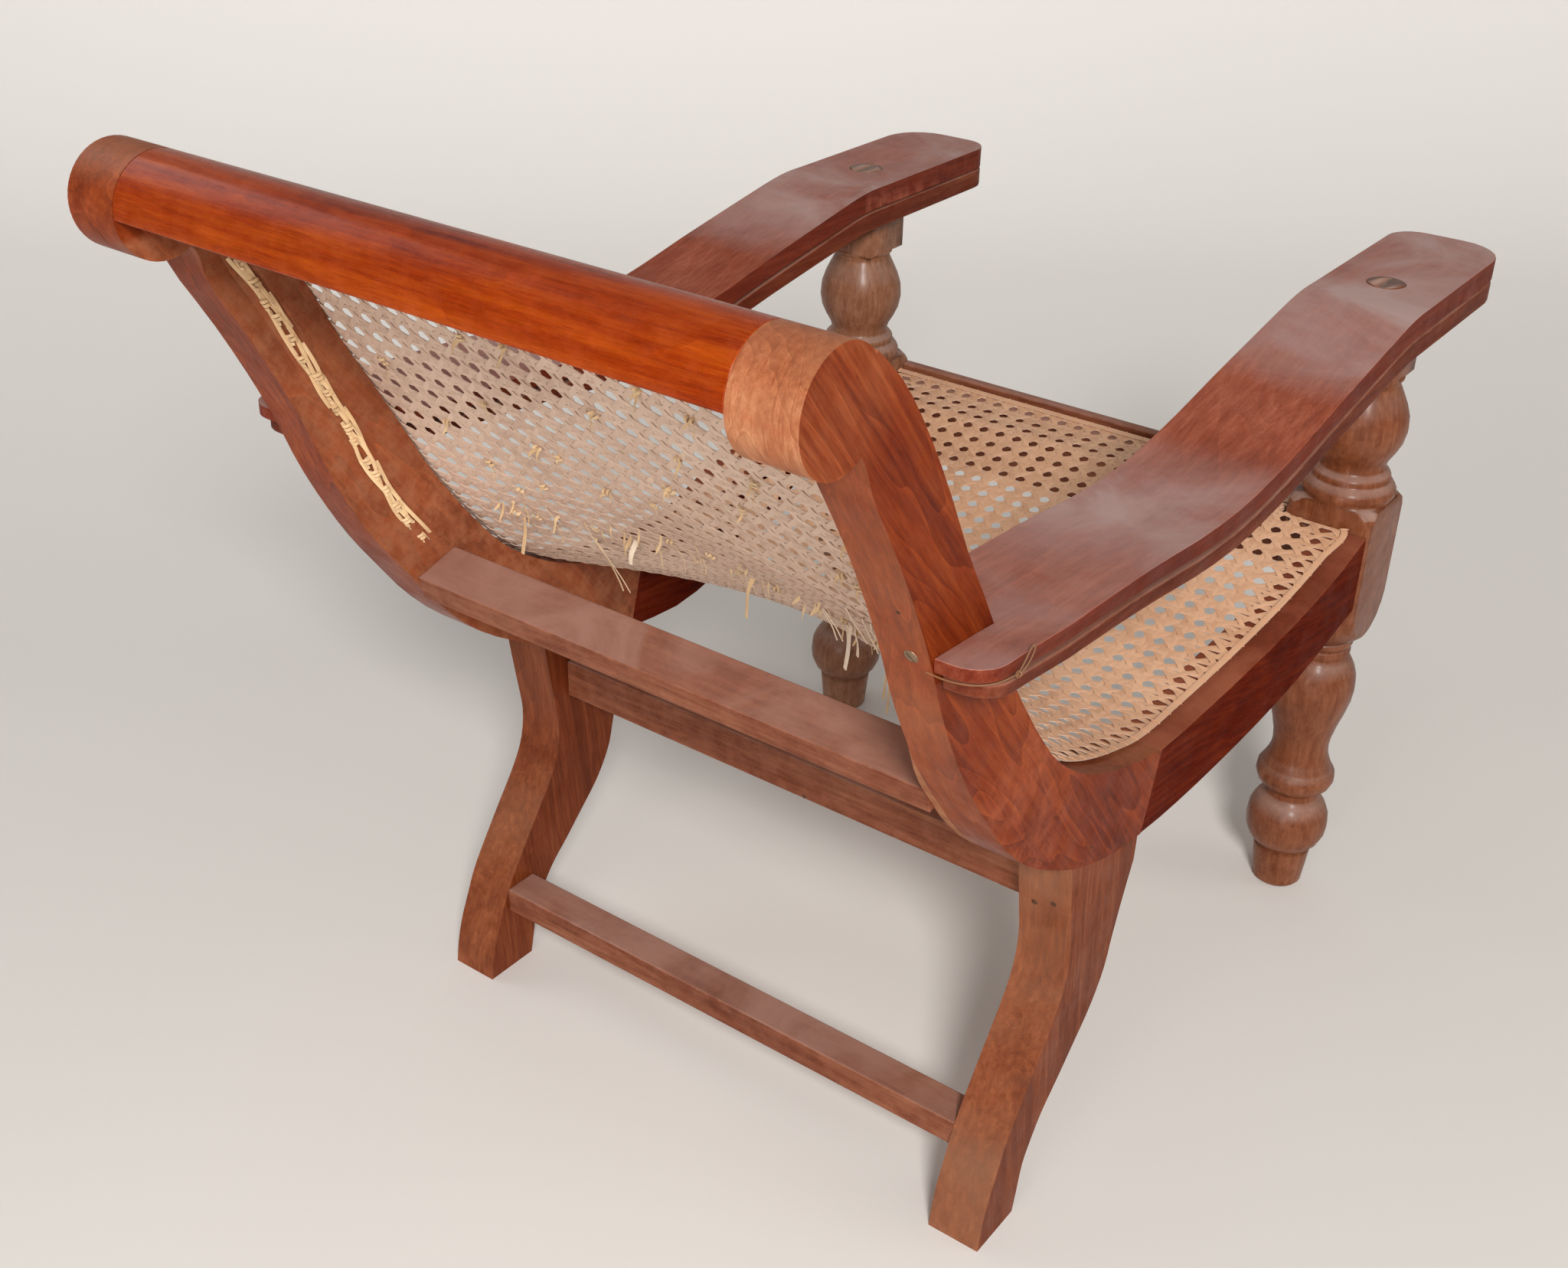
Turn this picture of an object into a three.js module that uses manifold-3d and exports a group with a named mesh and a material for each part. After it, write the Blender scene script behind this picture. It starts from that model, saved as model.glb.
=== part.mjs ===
// Planter's chair: rolled crest, S-curved side frames, one caned sling from crest to seat front,
// broad swept arms, and a swing-out leg rest under each arm turning on the front post's tenon.
// Millimetres, +Z up. The sitter faces -Y, so the sitter's right side is at -X.
// The origin is on the floor, midway between the sides and between the front and the back.

import * as THREE from 'three';
import * as BufferGeometryUtils from 'three/addons/utils/BufferGeometryUtils.js';
import Module from 'manifold-3d';

const wasm = await Module();
wasm.setup();

// Fits
const FIT = 0.3;                     // joint between pieces that are glued or pinned
const SWING_GAP = 2;                 // air between arm and leg rest at the post
const TAIL_GAP = 5;                  // air between arm and leg rest at the back end
const CANE_GAP = 6.5;                // arm shoulder to the stile where the caned sheet passes between
const SHOULDER_GAP = 9.5;            // leg rest shoulder to the stile and cane it swings past
const CHEEK_GAP = 1.2;               // leg rest cheek to the stile's outer face
const PIVOT_PLAY = 0.6;              // leg rest bore over the tenon, on the radius
const CUT_MARGIN = 50;               // how far cutting shapes run past the wood

// Side frames
const SIDE_OUT = 315;                // centre line to the outer face
const SIDE_THICK = 50;
const SIDE_IN = SIDE_OUT - SIDE_THICK;
const LEDGE = 10;                    // how far the back part of the stile is thinned inside
const SPLINE_STEPS = 34;
const RAIL_STEPS = 12;
const KNEE_JOINT = [28, 390, 49, 314, 0, 0];

// Stations down the stile and round the knee: [front y, front z, back y, back z, ledge share, spread share]
const STILE_STATIONS = [
  [498, 890, 514, 836, 0, 0],
  [469, 862, 505, 823, 0, 0],
  [442, 825, 494, 797, 1, 0],
  [412, 775, 466, 749, 1, 0],
  [384, 722, 439, 697, 1, 0],
  [357, 677, 419, 653, 1, 0],
  [331, 632, 401, 607, 1, 0],
  [303, 583, 378, 560, 1, 0],
  [279, 548, 356, 522, 0.4, 0],
  [255, 516, 331, 486, 0, 0],
  [227, 483, 299, 443, 0, 0],
  [196, 457, 259, 403, 0, 0],
  [161, 435, 214, 372, 0, 0],
  [121, 417, 166, 346, 0, 0],
  [76, 402, 108, 325, 0, 0],
  KNEE_JOINT,
];
const LIP_SHARE = 0.42;              // share of the section that keeps its full thickness
const BEVEL_SHARE = 0.68;            // where the slanted ledge ends
// The seat rail goes on from the knee: [front y, front z, back y, back z, ledge share, spread share]
const SEAT_RAIL_STATIONS = [
  KNEE_JOINT,
  [-36, 387, -24, 307, 0, 0],
  [-96, 394, -96, 313, 0, 0.22],
  [-160, 408, -160, 328, 0, 0.58],
  [-228, 424, -228, 346, 0, 0.89],
  [-297, 438, -297, 362, 0, 1],
  [-349, 450, -349, 370, 0, 1],
];
const RAIL_SPREAD = 22.5;            // how far the seat rails bow outward towards the front legs

// Scrolled ends and crest
const SCROLL_Y = 530;
const SCROLL_Z = 864;
const SCROLL_R = 39.5;
const SCROLL_SIDES = 48;
const CREST_DROP = 2;                // the crest rail's flat underside below the scroll's centre
const CREST_UNDER = SCROLL_Z - CREST_DROP;
const CREST_ARC_END = 1.95;          // radians round the roll to where its front begins
const CREST_STEPS = 18;
const CREST_FRONT = [[498, 892], [484, 881], [470, 864]];

// Front legs, turned from one length with two squares left on
const POST_X = 296;
const POST_Y = -393;
const BLOCK_HALF = 44;
const BLOCK_LOW = 313;
const BLOCK_HIGH = 472;
const CAP_HALF = 32;
const CAP_LOW = 600;
const TURN_SIDES = 22;
const BLOCK_SIDES = 36;
const LEG_TURNING = [                // [radius, height] from the foot to the square
  [24, 0], [26.5, 3], [29, 28], [30.5, 44], [27.5, 46.5], [31.5, 50], [38, 57], [42.3, 67], [43.6, 79],
  [42.4, 91], [38.4, 101], [33, 108.5], [28.5, 112], [27.2, 118], [28.6, 123], [34, 126], [39, 130.5],
  [41.6, 138], [40.6, 146], [36.6, 150], [36, 154], [33, 160], [30.4, 168], [29.4, 178], [30.4, 190],
  [34, 206], [39, 223], [43, 240], [44.2, 253], [43.2, 266], [39.6, 278], [34.4, 287], [30.2, 291.5],
  [32, 294], [32.8, 298], [31, 302], [30.2, 303.5], [33, 306], [34, 309.5], [33, BLOCK_LOW],
];
const POST_TURNING = [               // above the square to the capital
  [43, BLOCK_HIGH], [45.5, 477], [45.8, 482], [43.5, 487], [40, 491], [38.4, 493], [38.6, 496], [37, 499.5],
  [33.6, 502], [31.6, 507], [33.4, 513], [38.6, 522], [43.6, 533], [46, 546], [45, 558], [41, 570], [35.4, 582],
  [31.4, 590], [30.4, 595], [33.4, 597], [33.8, CAP_LOW],
];
const BLOCK_ROUND = [                // lathe that eases the square's corners
  [30, BLOCK_LOW], [38, 317], [46, 325], [53, 335], [57.5, 347], [60, 360], [60, 458], [57, 467],
  [52, BLOCK_HIGH],
];
const TENON_R = 18;
const WEDGE_THICK = 3;
const WEDGE_DEEP = 16;
const WEDGE_SPAN = 15;               // half length of the wedge across the tenon

// Arms and leg rests
const ARM_IN = 242;                  // centre line to the inner edge
const ARM_OUT = 354;
const ARM_FRONT = -569.5;
const ARM_BACK = 417;
const ARM_THICK = 22;
const ARM_TAIL_THICK = 10;           // both boards thin out to their tails
const REST_THICK = 20;
const REST_TAIL_THICK = 10;
const REST_FLAT = 55;                // the leg rest stays level this far behind the post, to turn freely
const ARM_TOP = [                    // [y, z] along the middle of the arm's top
  [-600, 688], [-540, 688], [-440, 688], [-352, 688], [-326, 688], [-300, 685.4], [-264, 679.4],
  [-199, 668], [-144, 658], [-84, 646], [-24, 636.5], [36, 631.5], [106, 634], [176, 641], [246, 646],
  [306, 649], [366, 655], [430, 660],
];
const ARM_STEPS = 34;
const NOSE_ROUND_OUT = 46;           // plan radius of the front outer corner
const NOSE_ROUND_IN = 30;
const TAIL_ROUND = 26;
const CORNER_STEPS = 6;

// Rear legs: [back y, back z, front y, front z] up from the floor
const REAR_LEG_STATIONS = [
  [276, 0, 218, 0],
  [272, 24, 213, 22],
  [265, 49, 207, 50],
  [256, 70, 197, 68],
  [243, 99, 181, 90],
  [222, 131, 157, 112],
  [200, 162, 132, 136],
  [180, 190, 108, 160],
  [166, 217, 89, 190],
  [161, 250, 80, 222],
  [166, 285, 67, 262],
  [172, 321, 56, 291],
];
const REAR_LEG_TOP = 360;            // blank height before its top is cut to the knee
const REAR_LEG_TOP_BACK = 178;
const REAR_LEG_TOP_FRONT = 53;
const KNEE_FROM = 356;               // the knee's underside is followed from here forward

// Cross pieces
const CROSS_RAIL = [[282, 500], [328, 487], [323, 465], [277, 478]];
const UPPER_RAIL_Y = 146;            // rear face of the rail between the leg heads
const UPPER_RAIL_THICK = 22;
const UPPER_RAIL_LOW = 279;
const UPPER_RAIL_HIGH = 318;
const STRETCHER = [[210, 97], [246, 97], [246, 71], [210, 71]];
const FRONT_RAIL = [                 // [y, z]: sloped seat for the cane, raised lip in front
  [-434, 372], [-398, 372], [-398, 451.5], [-419, 455], [-421, 455], [-421.5, 461], [-423.5, 463], [-432, 463],
  [-434, 461],
];

// Caned sling
const CANE_THICK = 2.6;
const CANE_LIFT = 0.3;
const CANE_MARGIN = 21;              // bare wood left outside the cane on the side frames
const CANE_HALF = SIDE_OUT - CANE_MARGIN;
const CANE_NOSE = [[-372, 450.5], FRONT_RAIL[2], FRONT_RAIL[3]];
const CANE_BORDER = 38;              // closed band of the weave along its edges
const OPEN_ACROSS = 8;               // the weave's fine openings, drawn together into a coarse grid
const OPEN_ALONG = 16;
const OPEN_SHARE = 0.43;             // side of an opening, as a share of the grid's spacing
const ROW_MARGIN = 1;                // from a row of openings to the sheet's fold lines before and after it
const ROW_CLEAR = 4;                 // no other fold comes this close to a row
const BINDER_WIDE = 5;
const BINDER_THICK = 1.6;
const BINDER_START_SHARE = 0.6;      // place of the front binder on the rail's sloped seat

// Materials
const woods = {
  frame: new THREE.MeshStandardMaterial({ color: 0x8a4526, roughness: 0.55, metalness: 0 }),
  crest: new THREE.MeshStandardMaterial({ color: 0x9c3f12, roughness: 0.25, metalness: 0 }),
  arm: new THREE.MeshStandardMaterial({ color: 0x86503f, roughness: 0.6, metalness: 0 }),
  leg: new THREE.MeshStandardMaterial({ color: 0x7f4630, roughness: 0.5, metalness: 0 }),
};
const cane = new THREE.MeshStandardMaterial({ color: 0xcfa276, roughness: 0.7, metalness: 0 });

const chair = new THREE.Group();

function addPiece(name, geometry, material) {
  const mesh = new THREE.Mesh(geometry, material.clone());
  mesh.name = name;
  chair.add(mesh);
  return mesh;
}

// Solids to and from the boolean library
function toSolid(geometry) {
  const bare = geometry.clone();
  bare.deleteAttribute('normal');
  bare.deleteAttribute('uv');
  const merged = BufferGeometryUtils.mergeVertices(bare);
  return new wasm.Manifold(new wasm.Mesh({
    numProp: 3,
    vertProperties: new Float32Array(merged.attributes.position.array),
    triVerts: new Uint32Array(merged.index.array),
  }));
}

function toGeometry(solid) {
  const mesh = solid.getMesh();
  const geometry = new THREE.BufferGeometry();
  geometry.setAttribute('position', new THREE.BufferAttribute(mesh.vertProperties, 3));
  geometry.setIndex(new THREE.BufferAttribute(mesh.triVerts, 1));
  geometry.computeVertexNormals();
  return geometry;
}

// Side profile in (y, z), pushed along X from one side to the other
function profileAlongX(points, fromX, toX) {
  const shape = new THREE.Shape(points.map(([y, z]) => new THREE.Vector2(y, z)));
  const geometry = new THREE.ExtrudeGeometry(shape, { depth: toX - fromX, bevelEnabled: false, steps: 1 });
  const axes = new THREE.Matrix4().makeBasis(
    new THREE.Vector3(0, 1, 0), new THREE.Vector3(0, 0, 1), new THREE.Vector3(1, 0, 0));
  geometry.applyMatrix4(axes);
  geometry.translate(fromX, 0, 0);
  return geometry;
}

// Plan outline in (x, y), pushed up
function planUp(points, low, high) {
  const shape = new THREE.Shape(points.map(([x, y]) => new THREE.Vector2(x, y)));
  const geometry = new THREE.ExtrudeGeometry(shape, { depth: high - low, bevelEnabled: false, steps: 1 });
  geometry.translate(0, 0, low);
  return geometry;
}

function box(x0, x1, y0, y1, z0, z1) {
  const geometry = new THREE.BoxGeometry(x1 - x0, y1 - y0, z1 - z0);
  geometry.translate((x0 + x1) / 2, (y0 + y1) / 2, (z0 + z1) / 2);
  return geometry;
}

// Turned form about a vertical axis; the profile is closed onto the axis
function turned(profile, x, y, sides = TURN_SIDES) {
  const low = profile[0][1];
  const high = profile[profile.length - 1][1];
  const points = [[0, low], ...profile, [0, high]].map(([r, z]) => new THREE.Vector2(r, z));
  const geometry = new THREE.LatheGeometry(points, sides);
  geometry.rotateX(Math.PI / 2);
  geometry.translate(x, y, 0);
  return geometry;
}

// Smooth line through [a, b] points, sampled evenly
function smooth(points, steps) {
  const curve = new THREE.CatmullRomCurve3(
    points.map(([a, b]) => new THREE.Vector3(a, b, 0)), false, 'centripetal');
  return curve.getPoints(steps).map((p) => [p.x, p.y]);
}

// Closed solid through rings of equal length, each ring a closed loop of THREE.Vector3
function loft(rings) {
  const size = rings[0].length;
  const positions = rings.flat().flatMap((p) => [p.x, p.y, p.z]);
  const index = [];
  for (let i = 0; i < rings.length - 1; i += 1) {
    for (let j = 0; j < size; j += 1) {
      const a = i * size + j;
      const b = i * size + ((j + 1) % size);
      index.push(a, b, a + size, b, b + size, a + size);
    }
  }
  const last = (rings.length - 1) * size;
  for (let j = 1; j < size - 1; j += 1) {
    index.push(0, j + 1, j);
    index.push(last, last + j, last + j + 1);
  }
  const geometry = new THREE.BufferGeometry();
  geometry.setAttribute('position', new THREE.Float32BufferAttribute(positions, 3));
  geometry.setIndex(index);
  return toSolid(geometry);
}

// Stations [front y, front z, back y, back z, ledge, spread] made smooth together
function smoothStations(stations, steps) {
  const front = smooth(stations.map((s) => [s[0], s[1]]), steps);
  const back = smooth(stations.map((s) => [s[2], s[3]]), steps);
  const share = (column) => smooth(stations.map((s, i) => [i, s[column]]), steps)
    .map(([, value]) => THREE.MathUtils.clamp(value, 0, 1));
  const ledge = share(4);
  const spread = share(5);
  return front.map((f, i) => ({
    front: f, back: back[i], ledge: ledge[i] * LEDGE, spread: spread[i] * RAIL_SPREAD,
  }));
}

const between = (a, b, share) => a.map((value, i) => value + (b[i] - value) * share);

// One side-frame member: full thickness at the front lip, a slanted ledge, a thinner back part
function sideMember(stations, steps, side) {
  const rings = smoothStations(stations, steps).map(({ front, back, ledge, spread }) => {
    const lip = between(front, back, LIP_SHARE);
    const bevel = between(front, back, BEVEL_SHARE);
    const outer = side * (SIDE_OUT + spread);
    const inner = side * (SIDE_IN + spread);
    const thin = side * (SIDE_IN + ledge + spread);
    const ring = [
      [outer, front], [inner, front], [inner, lip], [thin, bevel], [thin, back], [outer, back],
    ].map(([x, [y, z]]) => new THREE.Vector3(x, y, z));
    return side < 0 ? ring.reverse() : ring;
  });
  return loft(rings);
}

const sides = [['right', -1], ['left', 1]];

// The stile's two long edges: the front carries the cane, the back sits on the rear leg's head
const kneeUnder = smoothStations(STILE_STATIONS, SPLINE_STEPS).map(({ back }) => back);
const stileFront = smoothStations(STILE_STATIONS, SPLINE_STEPS).map(({ front }) => front);
const lastOf = (list) => list[list.length - 1];

// A profile pushed along X between two distances from the centre line, on one side of the chair
const profileOnSide = (points, side, near, far) =>
  profileAlongX(points, Math.min(side * near, side * far), Math.max(side * near, side * far));

// Side frames: scrolled stile with its knee, and the seat rail that continues it
const scrollDisc = (side) => {
  const points = [];
  for (let i = 0; i < SCROLL_SIDES; i += 1) {
    const a = (i / SCROLL_SIDES) * 2 * Math.PI;
    points.push([SCROLL_Y + SCROLL_R * Math.cos(a), SCROLL_Z + SCROLL_R * Math.sin(a)]);
  }
  return toSolid(profileOnSide(points, side, SIDE_IN, SIDE_OUT));
};
for (const [word, side] of sides) {
  const stile = sideMember(STILE_STATIONS, SPLINE_STEPS, side).add(scrollDisc(side));
  addPiece(`stile_${word}`, toGeometry(stile), woods.frame);
  const rail = sideMember(SEAT_RAIL_STATIONS, RAIL_STEPS, side);
  addPiece(`seat_rail_${word}`, toGeometry(rail), woods.frame);
}

// Crest rail: half-round roll between the scrolls, flat beneath
const crestProfile = [];
const crestStart = Math.asin(-CREST_DROP / SCROLL_R);
for (let i = 0; i <= CREST_STEPS; i += 1) {
  const a = crestStart + (CREST_ARC_END - crestStart) * (i / CREST_STEPS);
  crestProfile.push([SCROLL_Y + SCROLL_R * Math.cos(a), SCROLL_Z + SCROLL_R * Math.sin(a)]);
}
crestProfile.push(...CREST_FRONT, [CREST_FRONT[2][0] - CANE_LIFT, CREST_UNDER]);
addPiece('crest_rail', profileAlongX(crestProfile, -SIDE_IN, SIDE_IN), woods.crest);

// Cross pieces between the side frames
addPiece('back_cross_rail', profileAlongX([...CROSS_RAIL].reverse(), -SIDE_IN, SIDE_IN), woods.frame);
addPiece('rear_stretcher', profileAlongX([...STRETCHER].reverse(), -SIDE_IN, SIDE_IN), woods.leg);
addPiece('rear_seat_rail', box(-SIDE_IN, SIDE_IN, UPPER_RAIL_Y - UPPER_RAIL_THICK, UPPER_RAIL_Y,
  UPPER_RAIL_LOW, UPPER_RAIL_HIGH), woods.leg);
const frontRailIn = POST_X - BLOCK_HALF;
addPiece('front_rail', profileAlongX(FRONT_RAIL, -frontRailIn, frontRailIn), woods.frame);

// Rear legs, sawn to a sabre curve, their heads cut to fit under the knee
const kneeCutter = (side) => {
  const line = kneeUnder.filter(([y]) => y < KNEE_FROM);
  const [endY, endZ] = lastOf(line);
  const points = [[line[0][0], CAP_LOW], ...line, [endY - CUT_MARGIN, endZ], [endY - CUT_MARGIN, CAP_LOW]];
  return toSolid(profileOnSide(points.reverse(), side, SIDE_IN - CUT_MARGIN, SIDE_OUT + CUT_MARGIN));
};
for (const [word, side] of sides) {
  const back = smooth(REAR_LEG_STATIONS.map((s) => [s[0], s[1]]), SPLINE_STEPS);
  const front = smooth(REAR_LEG_STATIONS.map((s) => [s[2], s[3]]), SPLINE_STEPS);
  const outline = [...front, [REAR_LEG_TOP_FRONT, REAR_LEG_TOP], [REAR_LEG_TOP_BACK, REAR_LEG_TOP],
    ...back.reverse()];
  const blank = toSolid(profileOnSide(outline.reverse(), side, SIDE_IN, SIDE_OUT));
  addPiece(`rear_leg_${word}`, toGeometry(blank.subtract(kneeCutter(side))), woods.leg);
}

// Front legs: turning, square, arm post, capital and the pivot tenon, all one piece of wood
const armTop = smooth(ARM_TOP, ARM_STEPS);
const topAtPost = ARM_TOP[2][1];
const restUnderAtPost = topAtPost - ARM_THICK - SWING_GAP - REST_THICK;
const capHigh = restUnderAtPost - FIT;
for (const [word, side] of sides) {
  const x = side * POST_X;
  const square = toSolid(box(x - BLOCK_HALF, x + BLOCK_HALF, POST_Y - BLOCK_HALF, POST_Y + BLOCK_HALF,
    BLOCK_LOW, BLOCK_HIGH)).intersect(toSolid(turned(BLOCK_ROUND, x, POST_Y, BLOCK_SIDES)));
  const capital = toSolid(box(x - CAP_HALF, x + CAP_HALF, POST_Y - CAP_HALF, POST_Y + CAP_HALF,
    CAP_LOW, capHigh));
  const tenon = turned([[TENON_R, CAP_LOW], [TENON_R, topAtPost]], x, POST_Y);
  const kerf = box(x - WEDGE_THICK / 2, x + WEDGE_THICK / 2, POST_Y - WEDGE_SPAN, POST_Y + WEDGE_SPAN,
    topAtPost - WEDGE_DEEP, topAtPost + WEDGE_DEEP);
  const leg = toSolid(turned(LEG_TURNING, x, POST_Y)).add(square)
    .add(toSolid(turned(POST_TURNING, x, POST_Y))).add(capital).add(toSolid(tenon)).subtract(toSolid(kerf));
  addPiece(`front_leg_${word}`, toGeometry(leg), woods.leg);
  const wedge = box(x - WEDGE_THICK / 2 + FIT, x + WEDGE_THICK / 2 - FIT, POST_Y - WEDGE_SPAN + FIT,
    POST_Y + WEDGE_SPAN - FIT, topAtPost - WEDGE_DEEP + FIT, topAtPost);
  addPiece(`tenon_wedge_${word}`, wedge, woods.arm);
}

// Plan outline of arm and leg rest, counter-clockwise, corners rounded
function armPlan(side, tail) {
  const most = (ARM_OUT - ARM_IN) / 2;
  const corners = [
    [ARM_IN, ARM_FRONT, Math.min(NOSE_ROUND_IN, most)],
    [ARM_OUT, ARM_FRONT, Math.min(NOSE_ROUND_OUT, most)],
    [ARM_OUT, tail, Math.min(TAIL_ROUND, most)],
    [ARM_IN, tail, 0],
  ];
  const centre = (ARM_IN + ARM_OUT) / 2;
  const middle = (ARM_FRONT + tail) / 2;
  const points = [];
  corners.forEach(([x, y, r], i) => {
    if (r === 0) {
      points.push([x, y]);
      return;
    }
    const cx = x + (x < centre ? r : -r);
    const cy = y + (y < middle ? r : -r);
    const start = Math.PI + (i * Math.PI) / 2;
    for (let k = 0; k <= CORNER_STEPS; k += 1) {
      const a = start + (k / CORNER_STEPS) * (Math.PI / 2);
      points.push([cx + r * Math.cos(a), cy + r * Math.sin(a)]);
    }
  });
  return side > 0 ? points : points.map(([x, y]) => [-x, y]).reverse();
}

// Space taken by the stile, kept free by the given gaps
function stileNotch(side, ahead, reach) {
  const line = stileFront.filter(([, z]) => z > BLOCK_HIGH && z < SCROLL_Z).map(([y, z]) => [y - ahead, z]);
  const deep = SCROLL_Y + SCROLL_R;
  const points = [...line, [deep, lastOf(line)[1]], [deep, line[0][1]]];
  return toSolid(profileOnSide(points, side, ARM_IN - CUT_MARGIN, reach));
}

// How far a place on the arm is on its way from behind the post to the tail
const towardTail = (y) => {
  const start = POST_Y + REST_FLAT;
  return THREE.MathUtils.clamp((y - start) / (ARM_BACK - start), 0, 1);
};
const armThick = (y) => THREE.MathUtils.lerp(ARM_THICK, ARM_TAIL_THICK, towardTail(y));
const restThick = (y) => THREE.MathUtils.lerp(REST_THICK, REST_TAIL_THICK, towardTail(y));

// The leg rest follows the arm's curve, and the air between them grows quickly behind the post,
// so that the rest's corners stay under the arm's dip as they swing round
const restGap = (y) => THREE.MathUtils.lerp(SWING_GAP, TAIL_GAP, Math.sqrt(towardTail(y)));
const restTop = armTop.map(([y, z]) => [y, z - armThick(y) - restGap(y)]);

// Board bent to a side profile, trimmed to its plan, with a shoulder cut and a bore for the tenon
function board(side, top, thick, plan, notch, bore) {
  const under = top.map(([y, z]) => [y, z - thick(y)]);
  const profile = [...under, ...[...top].reverse()];
  const slab = toSolid(profileOnSide(profile, side, ARM_IN - CUT_MARGIN, ARM_OUT + CUT_MARGIN));
  const outline = toSolid(planUp(plan, BLOCK_HIGH, SCROLL_Z));
  const hole = toSolid(turned([[bore, BLOCK_HIGH], [bore, SCROLL_Z]], side * POST_X, POST_Y));
  return slab.intersect(outline).subtract(notch).subtract(hole);
}

for (const [word, side] of sides) {
  const armNotch = stileNotch(side, FIT, SIDE_OUT + FIT).add(stileNotch(side, CANE_GAP, CANE_HALF + FIT));
  const arm = board(side, armTop, armThick, armPlan(side, ARM_BACK), armNotch, TENON_R + FIT);
  addPiece(`arm_${word}`, toGeometry(arm), woods.arm);
  const rest = board(side, restTop, restThick, armPlan(side, ARM_BACK - SHOULDER_GAP),
    stileNotch(side, SHOULDER_GAP, SIDE_OUT + CHEEK_GAP), TENON_R + PIVOT_PLAY);
  addPiece(`leg_rest_${word}`, toGeometry(rest), woods.arm);
}

// Caned sling: one sheet down the front of the stiles, round the knee and along the seat
function offsetLine(line, distance) {
  return line.map(([y, z], i) => {
    const before = line[Math.max(i - 1, 0)];
    const after = line[Math.min(i + 1, line.length - 1)];
    const length = Math.hypot(after[0] - before[0], after[1] - before[1]);
    return [y + ((after[1] - before[1]) / length) * distance, z - ((after[0] - before[0]) / length) * distance];
  });
}
const railFront = smoothStations(SEAT_RAIL_STATIONS, RAIL_STEPS);
const crestFoot = CREST_UNDER - FIT;
const above = lastOf(stileFront.filter(([, z]) => z > crestFoot));
const below = stileFront.filter(([, z]) => z < crestFoot);
const slingTop = between(above, below[0], (above[1] - crestFoot) / (above[1] - below[0][1]));
const slingPath = [
  ...[slingTop, ...below].map(([y, z]) => [y, z, CANE_HALF]),
  ...railFront.slice(1).map(({ front: [y, z], spread }) => [y, z, CANE_HALF + spread]),
];

// Places on the sling's path, [y, z, half width], by the distance from the crest
const pathRun = slingPath.reduce((run, [y, z], i) =>
  (i ? [...run, run[i - 1] + Math.hypot(y - slingPath[i - 1][0], z - slingPath[i - 1][1])] : [0]), []);
function onPath(distance) {
  const next = Math.max(pathRun.findIndex((r) => r >= distance), 1);
  const share = (distance - pathRun[next - 1]) / (pathRun[next] - pathRun[next - 1]);
  return between(slingPath[next - 1], slingPath[next], share);
}

// Rows of openings down the sling; the sheet folds between the rows and never across one
const pathEnd = lastOf(pathRun);
const stepAlong = (pathEnd - 2 * CANE_BORDER) / OPEN_ALONG;
const rows = [];
for (let i = 0; i < OPEN_ALONG; i += 1) {
  const start = CANE_BORDER + (i + (1 - OPEN_SHARE) / 2) * stepAlong;
  rows.push([start, start + OPEN_SHARE * stepAlong]);
}
const betweenRows = pathRun.filter((distance) =>
  rows.every(([start, end]) => distance < start - ROW_CLEAR || distance > end + ROW_CLEAR));
const folds = rows.flatMap(([start, end]) => [start - ROW_MARGIN, end + ROW_MARGIN]);
const slingPlaces = [...betweenRows, ...folds].sort((a, b) => a - b).map(onPath);
const slingLine = slingPlaces.map(([y, z]) => [y, z]);
const slingHalf = slingPlaces.map(([, , half]) => half);
const noseLine = [...slingLine, ...CANE_NOSE];
const noseHalf = noseLine.map(() => frontRailIn - CANE_LIFT);

// Sheet between two offsets of a line, from one x to another at each of its points
const layer = (line, low, high, fromX, toX) => {
  const under = offsetLine(line, low);
  const over = offsetLine(line, high);
  return loft(line.map((point, i) => [
    [toX[i], over[i]], [fromX[i], over[i]], [fromX[i], under[i]], [toX[i], under[i]],
  ].map(([x, [y, z]]) => new THREE.Vector3(x, y, z))));
};
const sheet = (line, half) => layer(line, CANE_LIFT, CANE_LIFT + CANE_THICK, half.map((h) => -h), half);

const gridHalf = CANE_HALF - CANE_BORDER;
const stepAcross = (2 * gridHalf) / OPEN_ACROSS;
const openings = rows.flatMap((ends) => {
  const line = ends.map(onPath).map(([y, z]) => [y, z]);
  return Array.from({ length: OPEN_ACROSS }, (unused, column) => {
    const x = (column + (1 - OPEN_SHARE) / 2) * stepAcross - gridHalf;
    return layer(line, -CANE_THICK, 2 * CANE_THICK, line.map(() => x),
      line.map(() => x + OPEN_SHARE * stepAcross));
  });
});
const sling = sheet(slingLine, slingHalf).add(sheet(noseLine, noseHalf))
  .subtract(wasm.Manifold.compose(openings));
addPiece('cane_sling', toGeometry(sling), cane);

// Binder canes over the rows of holes: both sides, the crest and the front rail
const binderLow = CANE_LIFT + CANE_THICK + CANE_LIFT;
const binderProfile = (line) =>
  [...offsetLine(line, binderLow), ...offsetLine(line, binderLow + BINDER_THICK).reverse()];
const binderRun = (from, to, start) => {
  const wide = BINDER_WIDE / Math.hypot(to[0] - from[0], to[1] - from[1]);
  return [between(from, to, start), between(from, to, start + wide)];
};
for (const [word, side] of sides) {
  const edges = [slingHalf.map((h) => side * (h - BINDER_WIDE)), slingHalf.map((h) => side * h)];
  const [fromX, toX] = side > 0 ? edges : edges.reverse();
  addPiece(`cane_binder_${word}`,
    toGeometry(layer(slingLine, binderLow, binderLow + BINDER_THICK, fromX, toX)), cane);
}
const crestBinder = binderProfile(binderRun(slingTop, below[0], 0));
const crestBinderHalf = CANE_HALF - BINDER_WIDE - FIT;
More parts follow.
